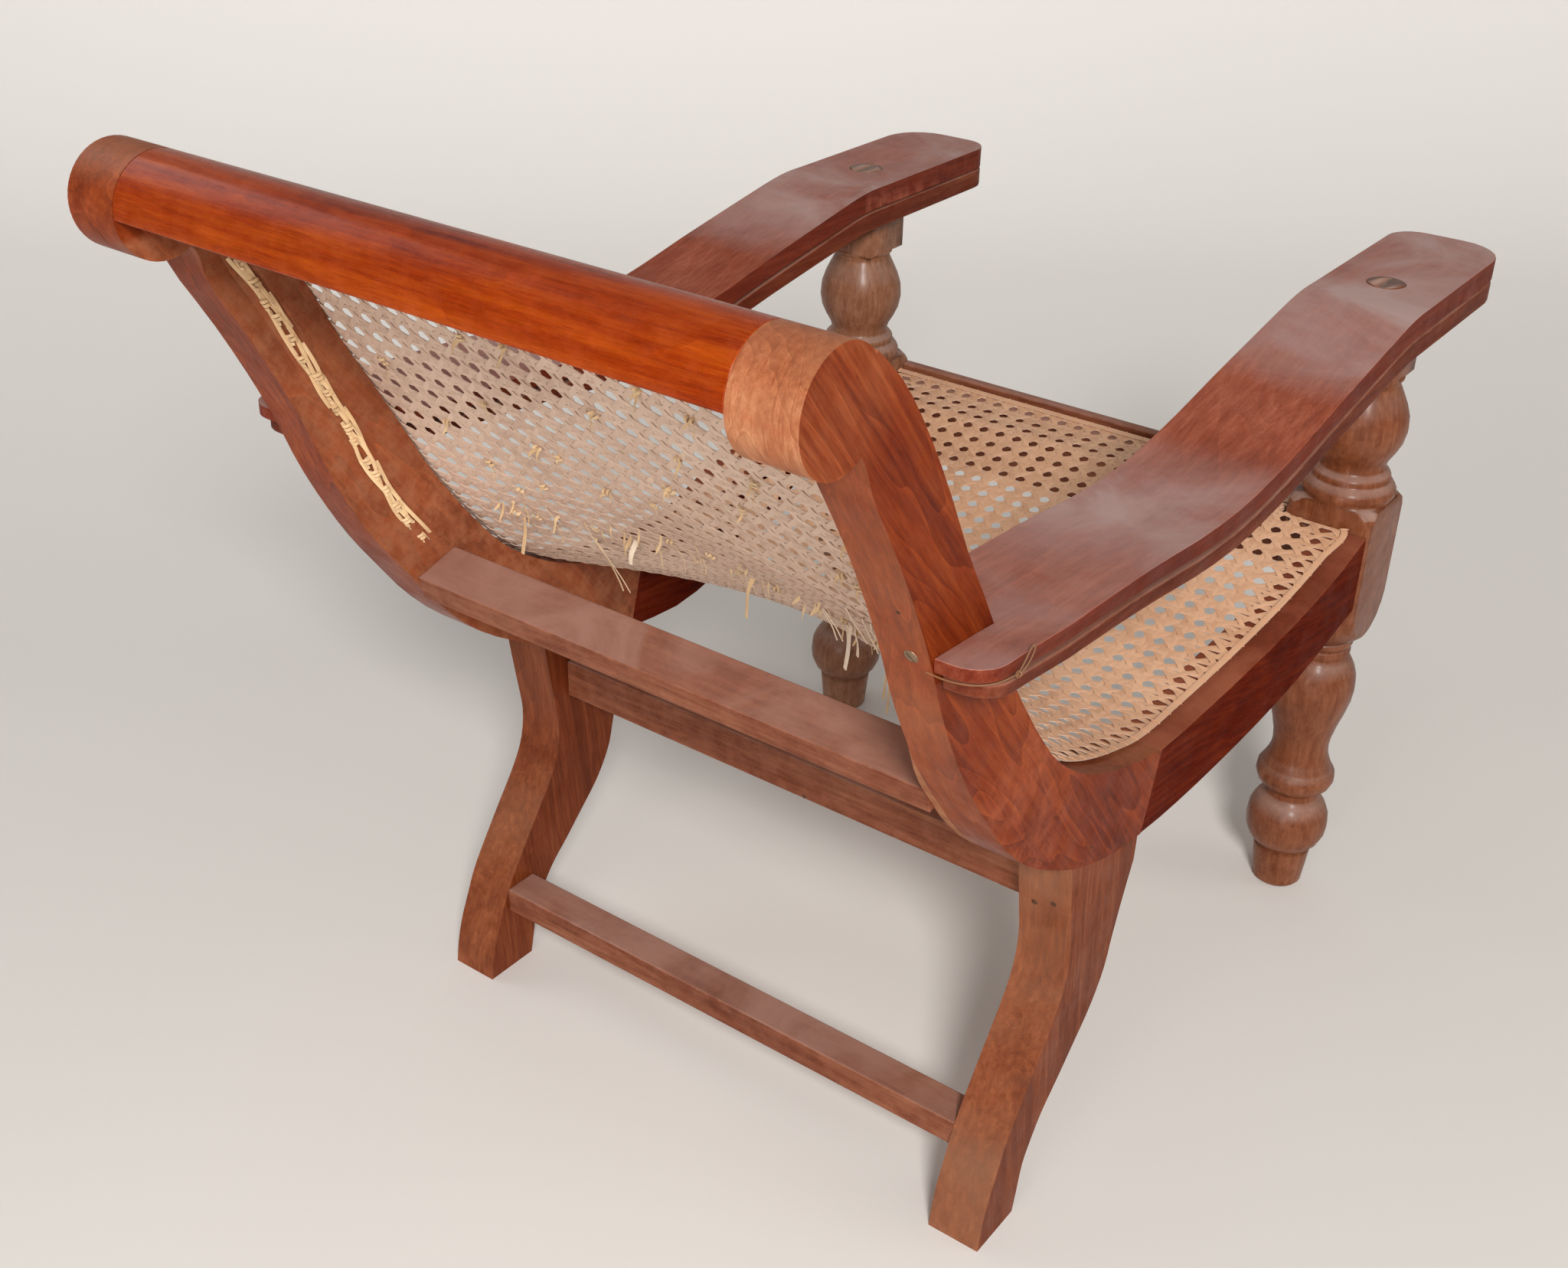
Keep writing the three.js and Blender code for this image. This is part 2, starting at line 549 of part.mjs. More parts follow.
addPiece('cane_binder_crest', profileAlongX(crestBinder, -crestBinderHalf, crestBinderHalf), cane);
const frontBinder = binderProfile(binderRun(FRONT_RAIL[2], FRONT_RAIL[3], BINDER_START_SHARE));
const frontBinderHalf = frontRailIn - CANE_LIFT;
addPiece('cane_binder_front', profileAlongX(frontBinder, -frontBinderHalf, frontBinderHalf), cane);

export default chair;
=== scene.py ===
"""Planter's chair: dressed woods, open woven cane, its stitches and loose ends, camera and studio.

Metres, +Z up, the sitter faces -Y, so the sitter's right side is at -X.
"""
import math

import bmesh
import bpy
import numpy as np
from mathutils import Euler, Matrix, Vector
from mathutils.bvhtree import BVHTree


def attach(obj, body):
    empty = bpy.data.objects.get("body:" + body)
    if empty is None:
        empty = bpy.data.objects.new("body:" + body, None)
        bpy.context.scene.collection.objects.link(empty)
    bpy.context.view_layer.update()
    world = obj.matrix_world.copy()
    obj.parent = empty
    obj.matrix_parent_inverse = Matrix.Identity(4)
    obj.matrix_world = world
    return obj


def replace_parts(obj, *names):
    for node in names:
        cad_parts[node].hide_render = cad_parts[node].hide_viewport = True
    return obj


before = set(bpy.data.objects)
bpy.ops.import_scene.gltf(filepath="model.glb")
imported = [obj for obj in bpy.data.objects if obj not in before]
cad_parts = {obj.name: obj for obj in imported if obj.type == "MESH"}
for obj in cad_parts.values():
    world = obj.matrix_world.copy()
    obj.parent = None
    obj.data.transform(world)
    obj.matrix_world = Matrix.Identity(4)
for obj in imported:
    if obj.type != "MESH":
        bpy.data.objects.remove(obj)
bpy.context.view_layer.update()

MM = 0.001
RNG = np.random.default_rng(7)

# Camera
PHOTO_WIDTH, PHOTO_HEIGHT = 2048, 1656
FOCAL_PIXELS = 2422.66
SENSOR = 36                      # mm
EYE = Vector((-0.8354, 1.2923, 1.2527))
FORWARD = Vector((0.5118, -0.7019, -0.4955)).normalized()
ACROSS = Vector((-0.8013, -0.5979, 0.0192))


def add_camera():
    """The camera that took the photograph."""
    data = bpy.data.cameras.new("view")
    data.sensor_width = SENSOR
    data.lens = SENSOR * FOCAL_PIXELS / PHOTO_WIDTH
    data.clip_start = 0.05
    data.clip_end = 60
    camera = bpy.data.objects.new("view", data)
    across = (ACROSS - FORWARD * ACROSS.dot(FORWARD)).normalized()
    upward = across.cross(FORWARD)
    turn = Matrix((across, upward, -FORWARD)).transposed()
    camera.matrix_world = Matrix.Translation(EYE) @ turn.to_4x4()
    bpy.context.scene.collection.objects.link(camera)
    bpy.context.scene.camera = camera


add_camera()


# Shader helpers
class Graph:
    """Small helper that adds shader nodes and wires them."""

    def __init__(self, name):
        self.material = bpy.data.materials.new(name)
        self.material.use_nodes = True
        self.tree = self.material.node_tree
        self.tree.nodes.clear()
        self.out = self.add("ShaderNodeOutputMaterial")
        self.shader = self.add("ShaderNodeBsdfPrincipled")
        self.wire(self.shader, "BSDF", self.out, "Surface")

    def add(self, kind, **settings):
        """A new node with its settings."""
        node = self.tree.nodes.new(kind)
        for key, value in settings.items():
            setattr(node, key, value)
        return node

    def wire(self, a, out, b, into):
        """A link from an output of a to an input of b."""
        self.tree.links.new(a.outputs[out], b.inputs[into])

    def noise(self, source, scale, detail=4, rough=0.55, distort=0.0):
        """Noise over the places that source gives."""
        node = self.add("ShaderNodeTexNoise")
        node.inputs["Scale"].default_value = scale
        node.inputs["Detail"].default_value = detail
        node.inputs["Roughness"].default_value = rough
        node.inputs["Distortion"].default_value = distort
        self.wire(source, "Vector", node, "Vector")
        return node

    def ramp(self, a, out, stops):
        """Shades or colours at stops along a value."""
        node = self.add("ShaderNodeValToRGB")
        elements = node.color_ramp.elements
        while len(elements) < len(stops):
            elements.new(0.5)
        for element, (place, value) in zip(elements, stops):
            element.position = place
            shade = (value, value, value) if isinstance(value, (int, float)) else value
            element.color = (*shade, 1)
        self.wire(a, out, node, "Fac")
        return node

    def mix(self, mode, factor, a, b):
        """factor, a and b are each a number or colour, or (node, output)."""
        node = self.add("ShaderNodeMix", data_type="RGBA", blend_type=mode)
        for socket, value in ((0, factor), (6, a), (7, b)):
            if isinstance(value, tuple) and hasattr(value[0], "outputs"):
                self.tree.links.new(value[0].outputs[value[1]], node.inputs[socket])
            elif socket == 0:
                node.inputs[0].default_value = value
            else:
                node.inputs[socket].default_value = (*value, 1)
        return node

    def math(self, operation, a, b, clamp=False):
        """A value worked out from a and b, each a number or (node, output)."""
        node = self.add("ShaderNodeMath", operation=operation, use_clamp=clamp)
        for i, value in enumerate((a, b)):
            if isinstance(value, tuple):
                self.tree.links.new(value[0].outputs[value[1]], node.inputs[i])
            else:
                node.inputs[i].default_value = value
        return node

    def bump(self, a, out, distance, strength=1.0, before=None):
        """Relief as high as distance where a value is 1, laid over an earlier relief."""
        node = self.add("ShaderNodeBump")
        node.inputs["Strength"].default_value = strength
        node.inputs["Distance"].default_value = distance
        self.wire(a, out, node, "Height")
        if before:
            self.wire(before, "Normal", node, "Normal")
        return node


def grain_frame(graph, along, stretch, seed):
    """Object coordinates turned so that the grain runs along X and is drawn out by stretch."""
    coords = graph.add("ShaderNodeTexCoord")
    turn = graph.add("ShaderNodeMapping", vector_type="POINT")
    direction = Vector(along).normalized()
    turn.inputs["Rotation"].default_value = direction.rotation_difference(Vector((1, 0, 0))).to_euler()
    turn.inputs["Location"].default_value = (seed * 1.7, seed * 0.9, seed * 2.3)
    graph.wire(coords, "Object", turn, "Vector")
    squeeze = graph.add("ShaderNodeMapping", vector_type="POINT")
    squeeze.inputs["Scale"].default_value = (1 / stretch, 1, 1)
    graph.wire(turn, "Vector", squeeze, "Vector")
    return coords, turn, squeeze


def band(graph, source, out, low, high, soft):
    """1 inside low..high of a value and 0 outside, with soft edges."""
    rise = graph.add("ShaderNodeMapRange", interpolation_type="SMOOTHSTEP")
    fall = graph.add("ShaderNodeMapRange", interpolation_type="SMOOTHSTEP")
    for node, a, b in ((rise, low - soft, low + soft), (fall, high + soft, high - soft)):
        graph.wire(source, out, node, "Value")
        node.inputs["From Min"].default_value = a
        node.inputs["From Max"].default_value = b
    return graph.math("MULTIPLY", (rise, "Result"), (fall, "Result"))


def cane_material(name, pale, mid, deep, rough, coat, seed):
    """Split cane: glossy skin or matt pith, with fine lengthwise fibres and a tone of its own per strand."""
    g = Graph(name)
    coords = g.add("ShaderNodeTexCoord")
    run = g.add("ShaderNodeUVMap", uv_map="run")
    place = g.add("ShaderNodeMapping", vector_type="POINT")
    place.inputs["Location"].default_value = (seed, seed * 2, 0)
    g.wire(run, "UV", place, "Vector")
    stretch = g.add("ShaderNodeMapping", vector_type="POINT")
    stretch.inputs["Scale"].default_value = (7, 14, 1)
    g.wire(place, "Vector", stretch, "Vector")
    fibre = g.noise(stretch, 3, detail=4, rough=0.65)
    area = g.noise(coords_as(g, coords), 8, detail=4, rough=0.6)
    strand = g.add("ShaderNodeTexWhiteNoise", noise_dimensions="1D")
    split = g.add("ShaderNodeSeparateXYZ")
    g.wire(run, "UV", split, "Vector")
    number = g.math("FLOOR", (split, "X"), 0)
    g.wire(number, 0, strand, "W")
    tone = g.math("MULTIPLY", (fibre, "Fac"), 0.45)
    wide = g.add("ShaderNodeMath", operation="MULTIPLY_ADD")
    g.wire(area, "Fac", wide, 0)
    wide.inputs[1].default_value = 0.4
    g.wire(tone, 0, wide, 2)
    each = g.add("ShaderNodeMath", operation="MULTIPLY_ADD")
    g.wire(strand, "Value", each, 0)
    each.inputs[1].default_value = 0.16
    g.wire(wide, 0, each, 2)
    colour = g.ramp(each, 0, [(0.3, deep), (0.5, mid), (0.7, pale)])
    g.wire(colour, "Color", g.shader, "Base Color")
    shine = g.ramp(fibre, "Fac", [(0.3, rough * 0.85), (0.7, min(1, rough * 1.2))])
    g.wire(shine, "Color", g.shader, "Roughness")
    g.shader.inputs["Coat Weight"].default_value = coat
    g.shader.inputs["Coat Roughness"].default_value = 0.3
    bump = g.bump(fibre, "Fac", 0.00015, 0.5)
    g.wire(bump, "Normal", g.shader, "Normal")
    return g.material


def coords_as(g, coords):
    """Object coordinates behind a plain mapping, so that its output is called Vector."""
    plain = g.add("ShaderNodeMapping", vector_type="POINT")
    g.wire(coords, "Object", plain, "Vector")
    return plain


def metal(name, colour, rough):
    """Old metal, spotted dark."""
    g = Graph(name)
    coords = g.add("ShaderNodeTexCoord")
    spots = g.noise(coords_as(g, coords), 900, detail=4)
    shade = g.ramp(spots, "Fac", [(0.35, tuple(c * 0.5 for c in colour)), (0.7, colour)])
    g.wire(shade, "Color", g.shader, "Base Color")
    g.shader.inputs["Metallic"].default_value = 1.0
    g.wire(g.ramp(spots, "Fac", [(0.3, rough), (0.7, min(1, rough * 1.5))]), "Color", g.shader, "Roughness")
    return g.material


# Woods
FIBRE_DRAW = 18                  # how much longer than wide the fibres are
RING_DRAW = 6                    # the same for the growth rings' arches
RINGS = 17                       # growth rings across the figure's full range
ROLL_AXIS = (0, 0.53, 0.864)     # axis of the stiles' rolled ends
ROLL_RIM = (0.0385, 0.041)       # radii between which a surface belongs to the roll
SHOULDER_RADIUS = 0.05           # how far the rubbing reaches onto the stile beside the roll
LEDGE_X = (0.2662, 0.2738)       # the slanted ledge, from the chair's middle
LEDGE_TOP = 0.845
ARM_REACH_Y = (-0.6, 0.45)       # the arm's ends, between which its dust and painted sheen come and go
HALFWAY = 0.1                    # half the width over which right turns to left


def axes(g, source, out):
    """The three parts of a vector."""
    split = g.add("ShaderNodeSeparateXYZ")
    g.wire(source, out, split, "Vector")
    return split


class OldWood:
    """Old shellacked hardwood, worked up in steps; colour and film are always (node, output)."""

    def __init__(self, name, tones, along, seed, streak):
        self.g = g = Graph(name)
        self.along, self.seed = along, seed
        self.coords, self.turn, squeeze = grain_frame(g, along, FIBRE_DRAW, seed)
        self.place = axes(g, self.coords, "Object")
        self.shape = g.add("ShaderNodeNewGeometry")
        self.facing = axes(g, self.shape, "Normal")
        self.fine = g.noise(squeeze, 210, detail=4, rough=0.62, distort=0.15)
        self.blotch = g.noise(self.turn, 6.5, detail=5, rough=0.6, distort=0.5)
        self.scuffs = g.ramp(g.noise(self.turn, 60, detail=5, rough=0.7), "Fac", [(0.42, 0.0), (0.62, 1.0)])
        self.far_side = band(g, self.place, "X", 0, 1, HALFWAY)
        self.film = None
        self.round_face = None
        self.lay_grain(squeeze, tones, streak)

    def tint(self, mode, share, colour):
        """Lays a colour over what is there."""
        self.colour = (self.g.mix(mode, share, self.colour, colour), 2)

    def lay_grain(self, squeeze, tones, streak):
        """Streaks, fibres and open pores along the grain, and broad patches."""
        g = self.g
        broad = g.noise(squeeze, 34, detail=3, rough=0.5, distort=0.5)
        hair = g.noise(squeeze, 900, detail=3, rough=0.55)
        tone = g.mix("MIX", 1 - streak, (broad, "Fac"), (self.fine, "Fac"))
        tone = g.mix("MIX", 0.22, (tone, 2), (self.blotch, "Fac"))
        self.colour = (g.ramp(tone, 2, list(zip((0.36, 0.49, 0.64), tones))), "Color")
        fibres = g.ramp(hair, "Fac", [(0.32, 0.74), (0.55, 1.0), (0.75, 1.1)])
        self.tint("MULTIPLY", 0.85, (fibres, "Color"))
        self.pores = g.ramp(hair, "Fac", [(0.60, 0.0), (0.68, 1.0)])
        self.tint("MULTIPLY", (g.math("MULTIPLY", (self.pores, "Color"), 0.5), 0), (0.4, 0.22, 0.16))
        patches = g.ramp(self.blotch, "Fac", [(0.32, 0.84), (0.5, 1.0), (0.7, 1.12)])
        self.tint("MULTIPLY", 0.5, (patches, "Color"))

    def draw_rings(self, figure):
        """Growth rings drawn out into long arches, each pale at its start and dark at its end."""
        g = self.g
        arches = g.noise(grain_frame(g, self.along, RING_DRAW, self.seed + 4)[2], 13, detail=2, rough=0.4,
                         distort=0.35)
        ring = g.math("FRACT", (g.math("MULTIPLY", (arches, "Fac"), RINGS), 0), 0)
        rings = g.ramp(ring, 0, [(0.0, (1.3, 1.42, 1.5)), (0.14, (1.06, 1.08, 1.08)),
                                 (0.75, (0.92, 0.9, 0.86)), (1.0, (0.72, 0.66, 0.6))])
        self.tint("MULTIPLY", figure, (rings, "Color"))

    def rub_rolls(self):
        """The right rolled end is rubbed pale, with fine turning marks round it."""
        g = self.g
        offset = g.add("ShaderNodeVectorMath", operation="SUBTRACT")
        g.wire(self.coords, "Object", offset, 0)
        offset.inputs[1].default_value = ROLL_AXIS
        flat = g.add("ShaderNodeVectorMath", operation="MULTIPLY")
        g.wire(offset, 0, flat, 0)
        flat.inputs[1].default_value = (0, 1, 1)
        radius = g.add("ShaderNodeVectorMath", operation="LENGTH")
        g.wire(flat, 0, radius, 0)
        # only round the roll, not on the stile's flat side; less on its crown, which stays darker as painted
        # shade
        self.round_face = band(g, g.math("ABSOLUTE", (self.facing, "X"), 0), 0, -1, 0.5, 0.2)
        rim = band(g, radius, "Value", *ROLL_RIM, 0.0012)
        crown = g.ramp(self.facing, "Z", [(0.35, 1.0), (0.9, 0.3)])
        rubbed = g.math("MULTIPLY", (rim, 0), (self.round_face, 0))
        rubbed = g.math("MULTIPLY", (rubbed, 0), (crown, "Color"))
        shoulder = band(g, radius, "Value", -0.1, SHOULDER_RADIUS, 0.012)
        share = g.math("ADD", (g.math("MULTIPLY", (rubbed, 0), 0.75), 0),
                       (g.math("MULTIPLY", (shoulder, 0), 0.13), 0))
        bare = g.mix("MULTIPLY", 1.0, self.colour, (2.1, 5.6, 18.0))
        bare = g.mix("MIX", 0.2, (bare, 2), (0.45, 0.15, 0.06))
        around = g.add("ShaderNodeMapping", vector_type="POINT")
        around.inputs["Scale"].default_value = (1, 0.06, 0.06)
        g.wire(self.coords, "Object", around, "Vector")
        dashes = g.ramp(g.noise(around, 620, detail=3, rough=0.6), "Fac", [(0.52, 0.0), (0.66, 0.75)])
        bare = g.mix("MULTIPLY", (dashes, "Color"), (bare, 2), (0.6, 0.36, 0.26))
        handled = g.add("ShaderNodeMapRange", interpolation_type="SMOOTHSTEP")
        g.wire(self.place, "X", handled, "Value")
        for label, value in (("From Min", -HALFWAY), ("From Max", HALFWAY), ("To Min", 1.0), ("To Max", 0.0)):
            handled.inputs[label].default_value = value
        share = g.math("MULTIPLY", (share, 0), (handled, "Result"))
        self.tint("MIX", (share, 0), (bare, 2))

    def darken_sides(self, flank):
        """The sides, which face neither up nor down, are darker and redder than the top."""
        g = self.g
        level = g.ramp(g.math("ABSOLUTE", (self.facing, "Z"), 0), 0, [(0.25, 1.0), (0.6, 0.0)])
        self.tint("MULTIPLY", (level, "Color"), flank)

    def wear_edges(self, pale):
        """Edges are rubbed through here and there."""
        g = self.g
        edge = g.ramp(self.shape, "Pointiness", [(0.515, 0.0), (0.56, 1.0)])
        worn = g.math("MULTIPLY", (edge, "Color"), (self.scuffs, "Color"))
        bare = tuple(min(1, c * 1.4 + 0.03) for c in pale)
        self.tint("MIX", (g.math("MULTIPLY", (worn, 0), 0.35), 0), bare)

    def settle_dust_and_painted_light(self, amount, rear, zones):
        """Dust where the surface faces up, and a pale film on faces turned to the rear, cut back on the far
        side as painted shade; where zones are given, the film along the piece is dust and painted sheen.
        """
        g = self.g
        settled = (g.ramp(self.facing, "Z", [(0.3, 0.0), (0.93, 1.0)]), 0)
        if rear:
            behind = g.ramp(self.facing, "Y", [(0.7, 0.0), (0.92, rear)])
            # painted shade: on the far (left) side the rear faces keep only a fifth of the pale film
            far_side_painted_shade = g.math("SUBTRACT", 1.0, (g.math("MULTIPLY", (self.far_side, 0), 0.8), 0))
            behind = g.mix("MULTIPLY", 1.0, (behind, "Color"), (far_side_painted_shade, 0))
            settled = (g.mix("LIGHTEN", 1.0, settled, (behind, 2)), 2)
        patches = g.noise(self.turn, 8, detail=6, rough=0.62, distort=0.7)
        haze = g.ramp(patches, "Fac", [(0.36, 0.35), (0.62, 1.0)])
        film = g.math("MULTIPLY", settled, (haze, "Color"))
        if zones:
            # dust and painted sheen come and go along the piece, the sheen standing in for a bright wall
            # reflected in the top
            reach = g.add("ShaderNodeMapRange")
            g.wire(self.place, "Y", reach, "Value")
            reach.inputs["From Min"].default_value, reach.inputs["From Max"].default_value = ARM_REACH_Y
            wander = g.math("ADD", (reach, "Result"), (g.math("MULTIPLY", (self.blotch, "Fac"), 0.05), 0))
            film = g.math("MULTIPLY", (film, 0), (g.ramp(wander, 0, zones), "Color"))
        self.film = (g.math("MULTIPLY", (film, 0), amount, clamp=True), 0)

    def bare_ledge(self):
        """The slanted ledge inside each stile is raw and bleached, and the far stile's inner side dry."""
        g = self.g
        side = g.math("ABSOLUTE", (self.place, "X"), 0)
        below = band(g, self.place, "Z", -1, LEDGE_TOP, 0.006)
        raw = g.math("MULTIPLY", (band(g, side, 0, *LEDGE_X, 0.0005), 0), (below, 0))
        near = g.math("SUBTRACT", 1.0, (g.math("MULTIPLY", (self.far_side, 0), 0.7), 0))
        raw = g.math("MULTIPLY", (raw, 0), (near, 0))
        speckle = g.ramp(self.scuffs, "Color", [(0.0, 0.55), (1.0, 0.95)])
        film = g.math("MAXIMUM", self.film, (g.math("MULTIPLY", (raw, 0), (speckle, "Color")), 0))
        dry = g.ramp(self.scuffs, "Color", [(0.0, 0.25), (1.0, 0.5)])
        inward = g.ramp(g.math("MULTIPLY", (self.facing, "X"), -1), 0, [(0.1, 0.0), (0.45, 1.0)])
        dry = g.mix("MULTIPLY", 1.0, (dry, "Color"), (inward, "Color"))
        dry = g.math("MULTIPLY", (g.math("MULTIPLY", (self.far_side, 0), (below, 0)), 0), (dry, 2))
        self.film = (g.math("MAXIMUM", (film, 0), (dry, 0)), 0)

    def polish(self, gloss, coat, sheen):
        """Shellac: smeared gloss, duller under the film, sunk pores and a slightly uneven surface."""
        g = self.g
        g.wire(*self.colour, g.shader, "Base Color")
        smear = g.ramp(g.noise(self.turn, 34, detail=5, rough=0.65), "Fac",
                       [(0.3, gloss * 0.82), (0.7, min(1, gloss * 1.3))])
        rough = g.math("ADD", (smear, "Color"), (g.math("MULTIPLY", self.film, 0.45), 0), clamp=True)
        if self.round_face is not None:
            smoothed = g.math("MULTIPLY", (self.round_face, 0), 0.12)
            rough = g.math("SUBTRACT", (rough, 0), (smoothed, 0), clamp=True)
        g.wire(rough, 0, g.shader, "Roughness")
        g.shader.inputs["Coat Weight"].default_value = coat
        g.shader.inputs["Coat Roughness"].default_value = 0.2
        g.shader.inputs["Specular IOR Level"].default_value = sheen
        sunk = g.bump(self.pores, "Color", 0.00016, 0.35)
        sunk.invert = True
        ribbed = g.bump(self.fine, "Fac", 0.0003, 0.3, before=sunk)
        uneven = g.bump(self.blotch, "Fac", 0.0012, 0.25, before=ribbed)
        g.wire(uneven, "Normal", g.shader, "Normal")


def wood(name, deep, mid, pale, along, seed=1, dust=0.3, dust_and_sheen_colour=(0.36, 0.27, 0.23), gloss=0.4,
         coat=0.0, streak=0.3, ledge=False, scroll=False, zones=None, sheen=0.2,
         flank=None, rear=0.0, figure=0.25):
    """Old shellacked hardwood: fine straight grain, open pores, hand wear, dust on what faces up."""
    work = OldWood(name, (deep, mid, pale), along, seed, streak)
    work.draw_rings(figure)
    if scroll:
        work.rub_rolls()
    if flank:
        work.darken_sides(flank)
    work.wear_edges(pale)
    work.settle_dust_and_painted_light(dust, rear, zones)
    if ledge:
        work.bare_ledge()
    work.tint("MIX", work.film, dust_and_sheen_colour)
    work.polish(gloss, coat, sheen)
    return work.g.material


# Woods, piece by piece
ALONG_X, ALONG_Y, ALONG_Z = (1, 0, 0), (0, 1, 0), (0, 0, 1)
STILE_RUN = (0, 0.62, 0.78)
RAIL_RUN = (0, 1, 0.15)
LEG_RUN = (0.02, 0.1, 1)
ARM_DUST_AND_SHEEN = [(0.0, 0.85), (0.3, 1.0), (0.39, 0.75), (0.46, 0.04), (0.55, 0.06), (0.63, 0.8), (0.71, 0.95),
            (0.79, 0.45), (0.88, 0.4), (1.0, 0.6)]   # along ARM_REACH_Y, how much pale film lies on the arm: dust, and painted sheen where its top would reflect a bright wall
WOODS = {
    "stile": wood("wood_stile", (0.115, 0.012, 0.0015), (0.205, 0.027, 0.0035), (0.3, 0.056, 0.009),
                  STILE_RUN, seed=1, dust=0.4, dust_and_sheen_colour=(0.39, 0.175, 0.09), gloss=0.44, streak=0.4,
                  ledge=True, scroll=True, rear=0.9, sheen=0.1, figure=0.85),
    "rail": wood("wood_seat_rail", (0.06, 0.005, 0.001), (0.1, 0.008, 0.001), (0.16, 0.02, 0.003), RAIL_RUN,
                 seed=2, dust=0.9, dust_and_sheen_colour=(0.3, 0.095, 0.05), gloss=0.6, sheen=0.03, figure=0.3),
    "crest": wood("wood_crest", (0.1, 0.006, 0.0005), (0.24, 0.025, 0.001), (0.36, 0.056, 0.003), ALONG_X,
                  seed=3, dust=0.0, gloss=0.24, coat=0.04, streak=0.5, sheen=0.1, figure=0.3),
    "cross": wood("wood_cross", (0.12, 0.026, 0.009), (0.185, 0.05, 0.021), (0.28, 0.1, 0.048), ALONG_X,
                  seed=4, dust=0.85, dust_and_sheen_colour=(0.36, 0.195, 0.15), gloss=0.5, streak=0.4),
    "leg": wood("wood_leg", (0.105, 0.018, 0.004), (0.17, 0.034, 0.009), (0.26, 0.068, 0.022), LEG_RUN,
                seed=5, dust=0.5, dust_and_sheen_colour=(0.4, 0.22, 0.13), gloss=0.46, streak=0.45, sheen=0.12,
                figure=0.45, rear=0.7),
    "turned": wood("wood_turned", (0.12, 0.03, 0.009), (0.17, 0.046, 0.016), (0.235, 0.08, 0.034), ALONG_Z,
                   seed=6, dust=1.0, dust_and_sheen_colour=(0.4, 0.26, 0.21), gloss=0.36, coat=0.12, streak=0.25,
                   figure=0.2),
    # the far front leg is the same wood as the near one, in a paler copy as painted light
    "turned_far_painted_lit": wood("wood_turned_far_painted_lit", (0.16, 0.058, 0.026), (0.225, 0.09, 0.044), (0.3, 0.14, 0.08),
                       ALONG_Z, seed=12, dust=1.0, dust_and_sheen_colour=(0.42, 0.29, 0.24), gloss=0.36, coat=0.12,
                       streak=0.25, figure=0.2),
    # the arm's pale film is dust with painted sheen laid along its top
    "arm": wood("wood_arm", (0.195, 0.032, 0.01), (0.275, 0.054, 0.021), (0.365, 0.098, 0.048), ALONG_Y,
                seed=7, dust=1.0, dust_and_sheen_colour=(0.42, 0.285, 0.26), gloss=0.48, streak=0.35, sheen=0.14,
                figure=0.35, zones=ARM_DUST_AND_SHEEN, flank=(0.55, 0.34, 0.24)),
    "rest": wood("wood_rest", (0.12, 0.022, 0.007), (0.19, 0.045, 0.019), (0.28, 0.09, 0.045), ALONG_Y,
                 seed=8, dust=0.5, dust_and_sheen_colour=(0.36, 0.22, 0.17), gloss=0.5, streak=0.45, sheen=0.12,
                 flank=(0.7, 0.5, 0.38)),
    "pin": wood("wood_pin", (0.12, 0.075, 0.055), (0.155, 0.1, 0.075), (0.2, 0.135, 0.105), ALONG_Z,
                seed=9, dust=0.15, dust_and_sheen_colour=(0.34, 0.25, 0.21), gloss=0.5, figure=0.9),
}

WELD = 0.00002                   # vertices closer than this are one
FLAT_ANGLE = math.radians(0.6)   # faces that turn less than this are one
HARD_ANGLE = math.radians(32)    # edges that turn more than this are eased
CREASE_ANGLE = math.radians(42)  # edges that turn more than this are shaded sharp
CANE_CREASE = math.radians(50)   # the same for cane
HEAD_CREASE = math.radians(40)   # and for screw and plug heads
EASE_STEPS = 3


def dressed_copy(node, material, ease):
    """A copy of a node's mesh, merged and with its hard edges eased, under the same shape."""
    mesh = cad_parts[node].data.copy()
    bm = bmesh.new()
    bm.from_mesh(mesh)
    bmesh.ops.remove_doubles(bm, verts=bm.verts, dist=WELD)
    bmesh.ops.dissolve_limit(bm, angle_limit=FLAT_ANGLE, verts=bm.verts, edges=bm.edges)
    bmesh.ops.recalc_face_normals(bm, faces=bm.faces)
    if ease > 0:
        hard = [e for e in bm.edges if e.is_manifold and e.calc_face_angle(0) > HARD_ANGLE]
        bmesh.ops.bevel(bm, geom=hard, offset=ease, offset_type="OFFSET", segments=EASE_STEPS, profile=0.6,
                        affect="EDGES", clamp_overlap=True)
    bmesh.ops.triangulate(bm, faces=[f for f in bm.faces if len(f.verts) > 4])
    bm.to_mesh(mesh)
    bm.free()
    mesh.materials.clear()
    mesh.materials.append(material)
    for poly in mesh.polygons:
        poly.use_smooth = True
        poly.material_index = 0
    mesh.set_sharp_from_angle(angle=CREASE_ANGLE)
    piece = bpy.data.objects.new(f"{node}_dressed", mesh)
    bpy.context.scene.collection.objects.link(piece)
    weigh = piece.modifiers.new("weights", "WEIGHTED_NORMAL")
    weigh.keep_sharp = True
    graph = bpy.context.evaluated_depsgraph_get()
    final = bpy.data.meshes.new_from_object(piece.evaluated_get(graph))
    piece.modifiers.clear()
    piece.data = final
    return piece


def dress(node, key, ease, body="chair"):
    """Shows a node as its own wood, with its edges eased by so much."""
    piece = dressed_copy(node, WOODS[key], ease)
    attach(piece, body)
    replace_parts(piece, node)


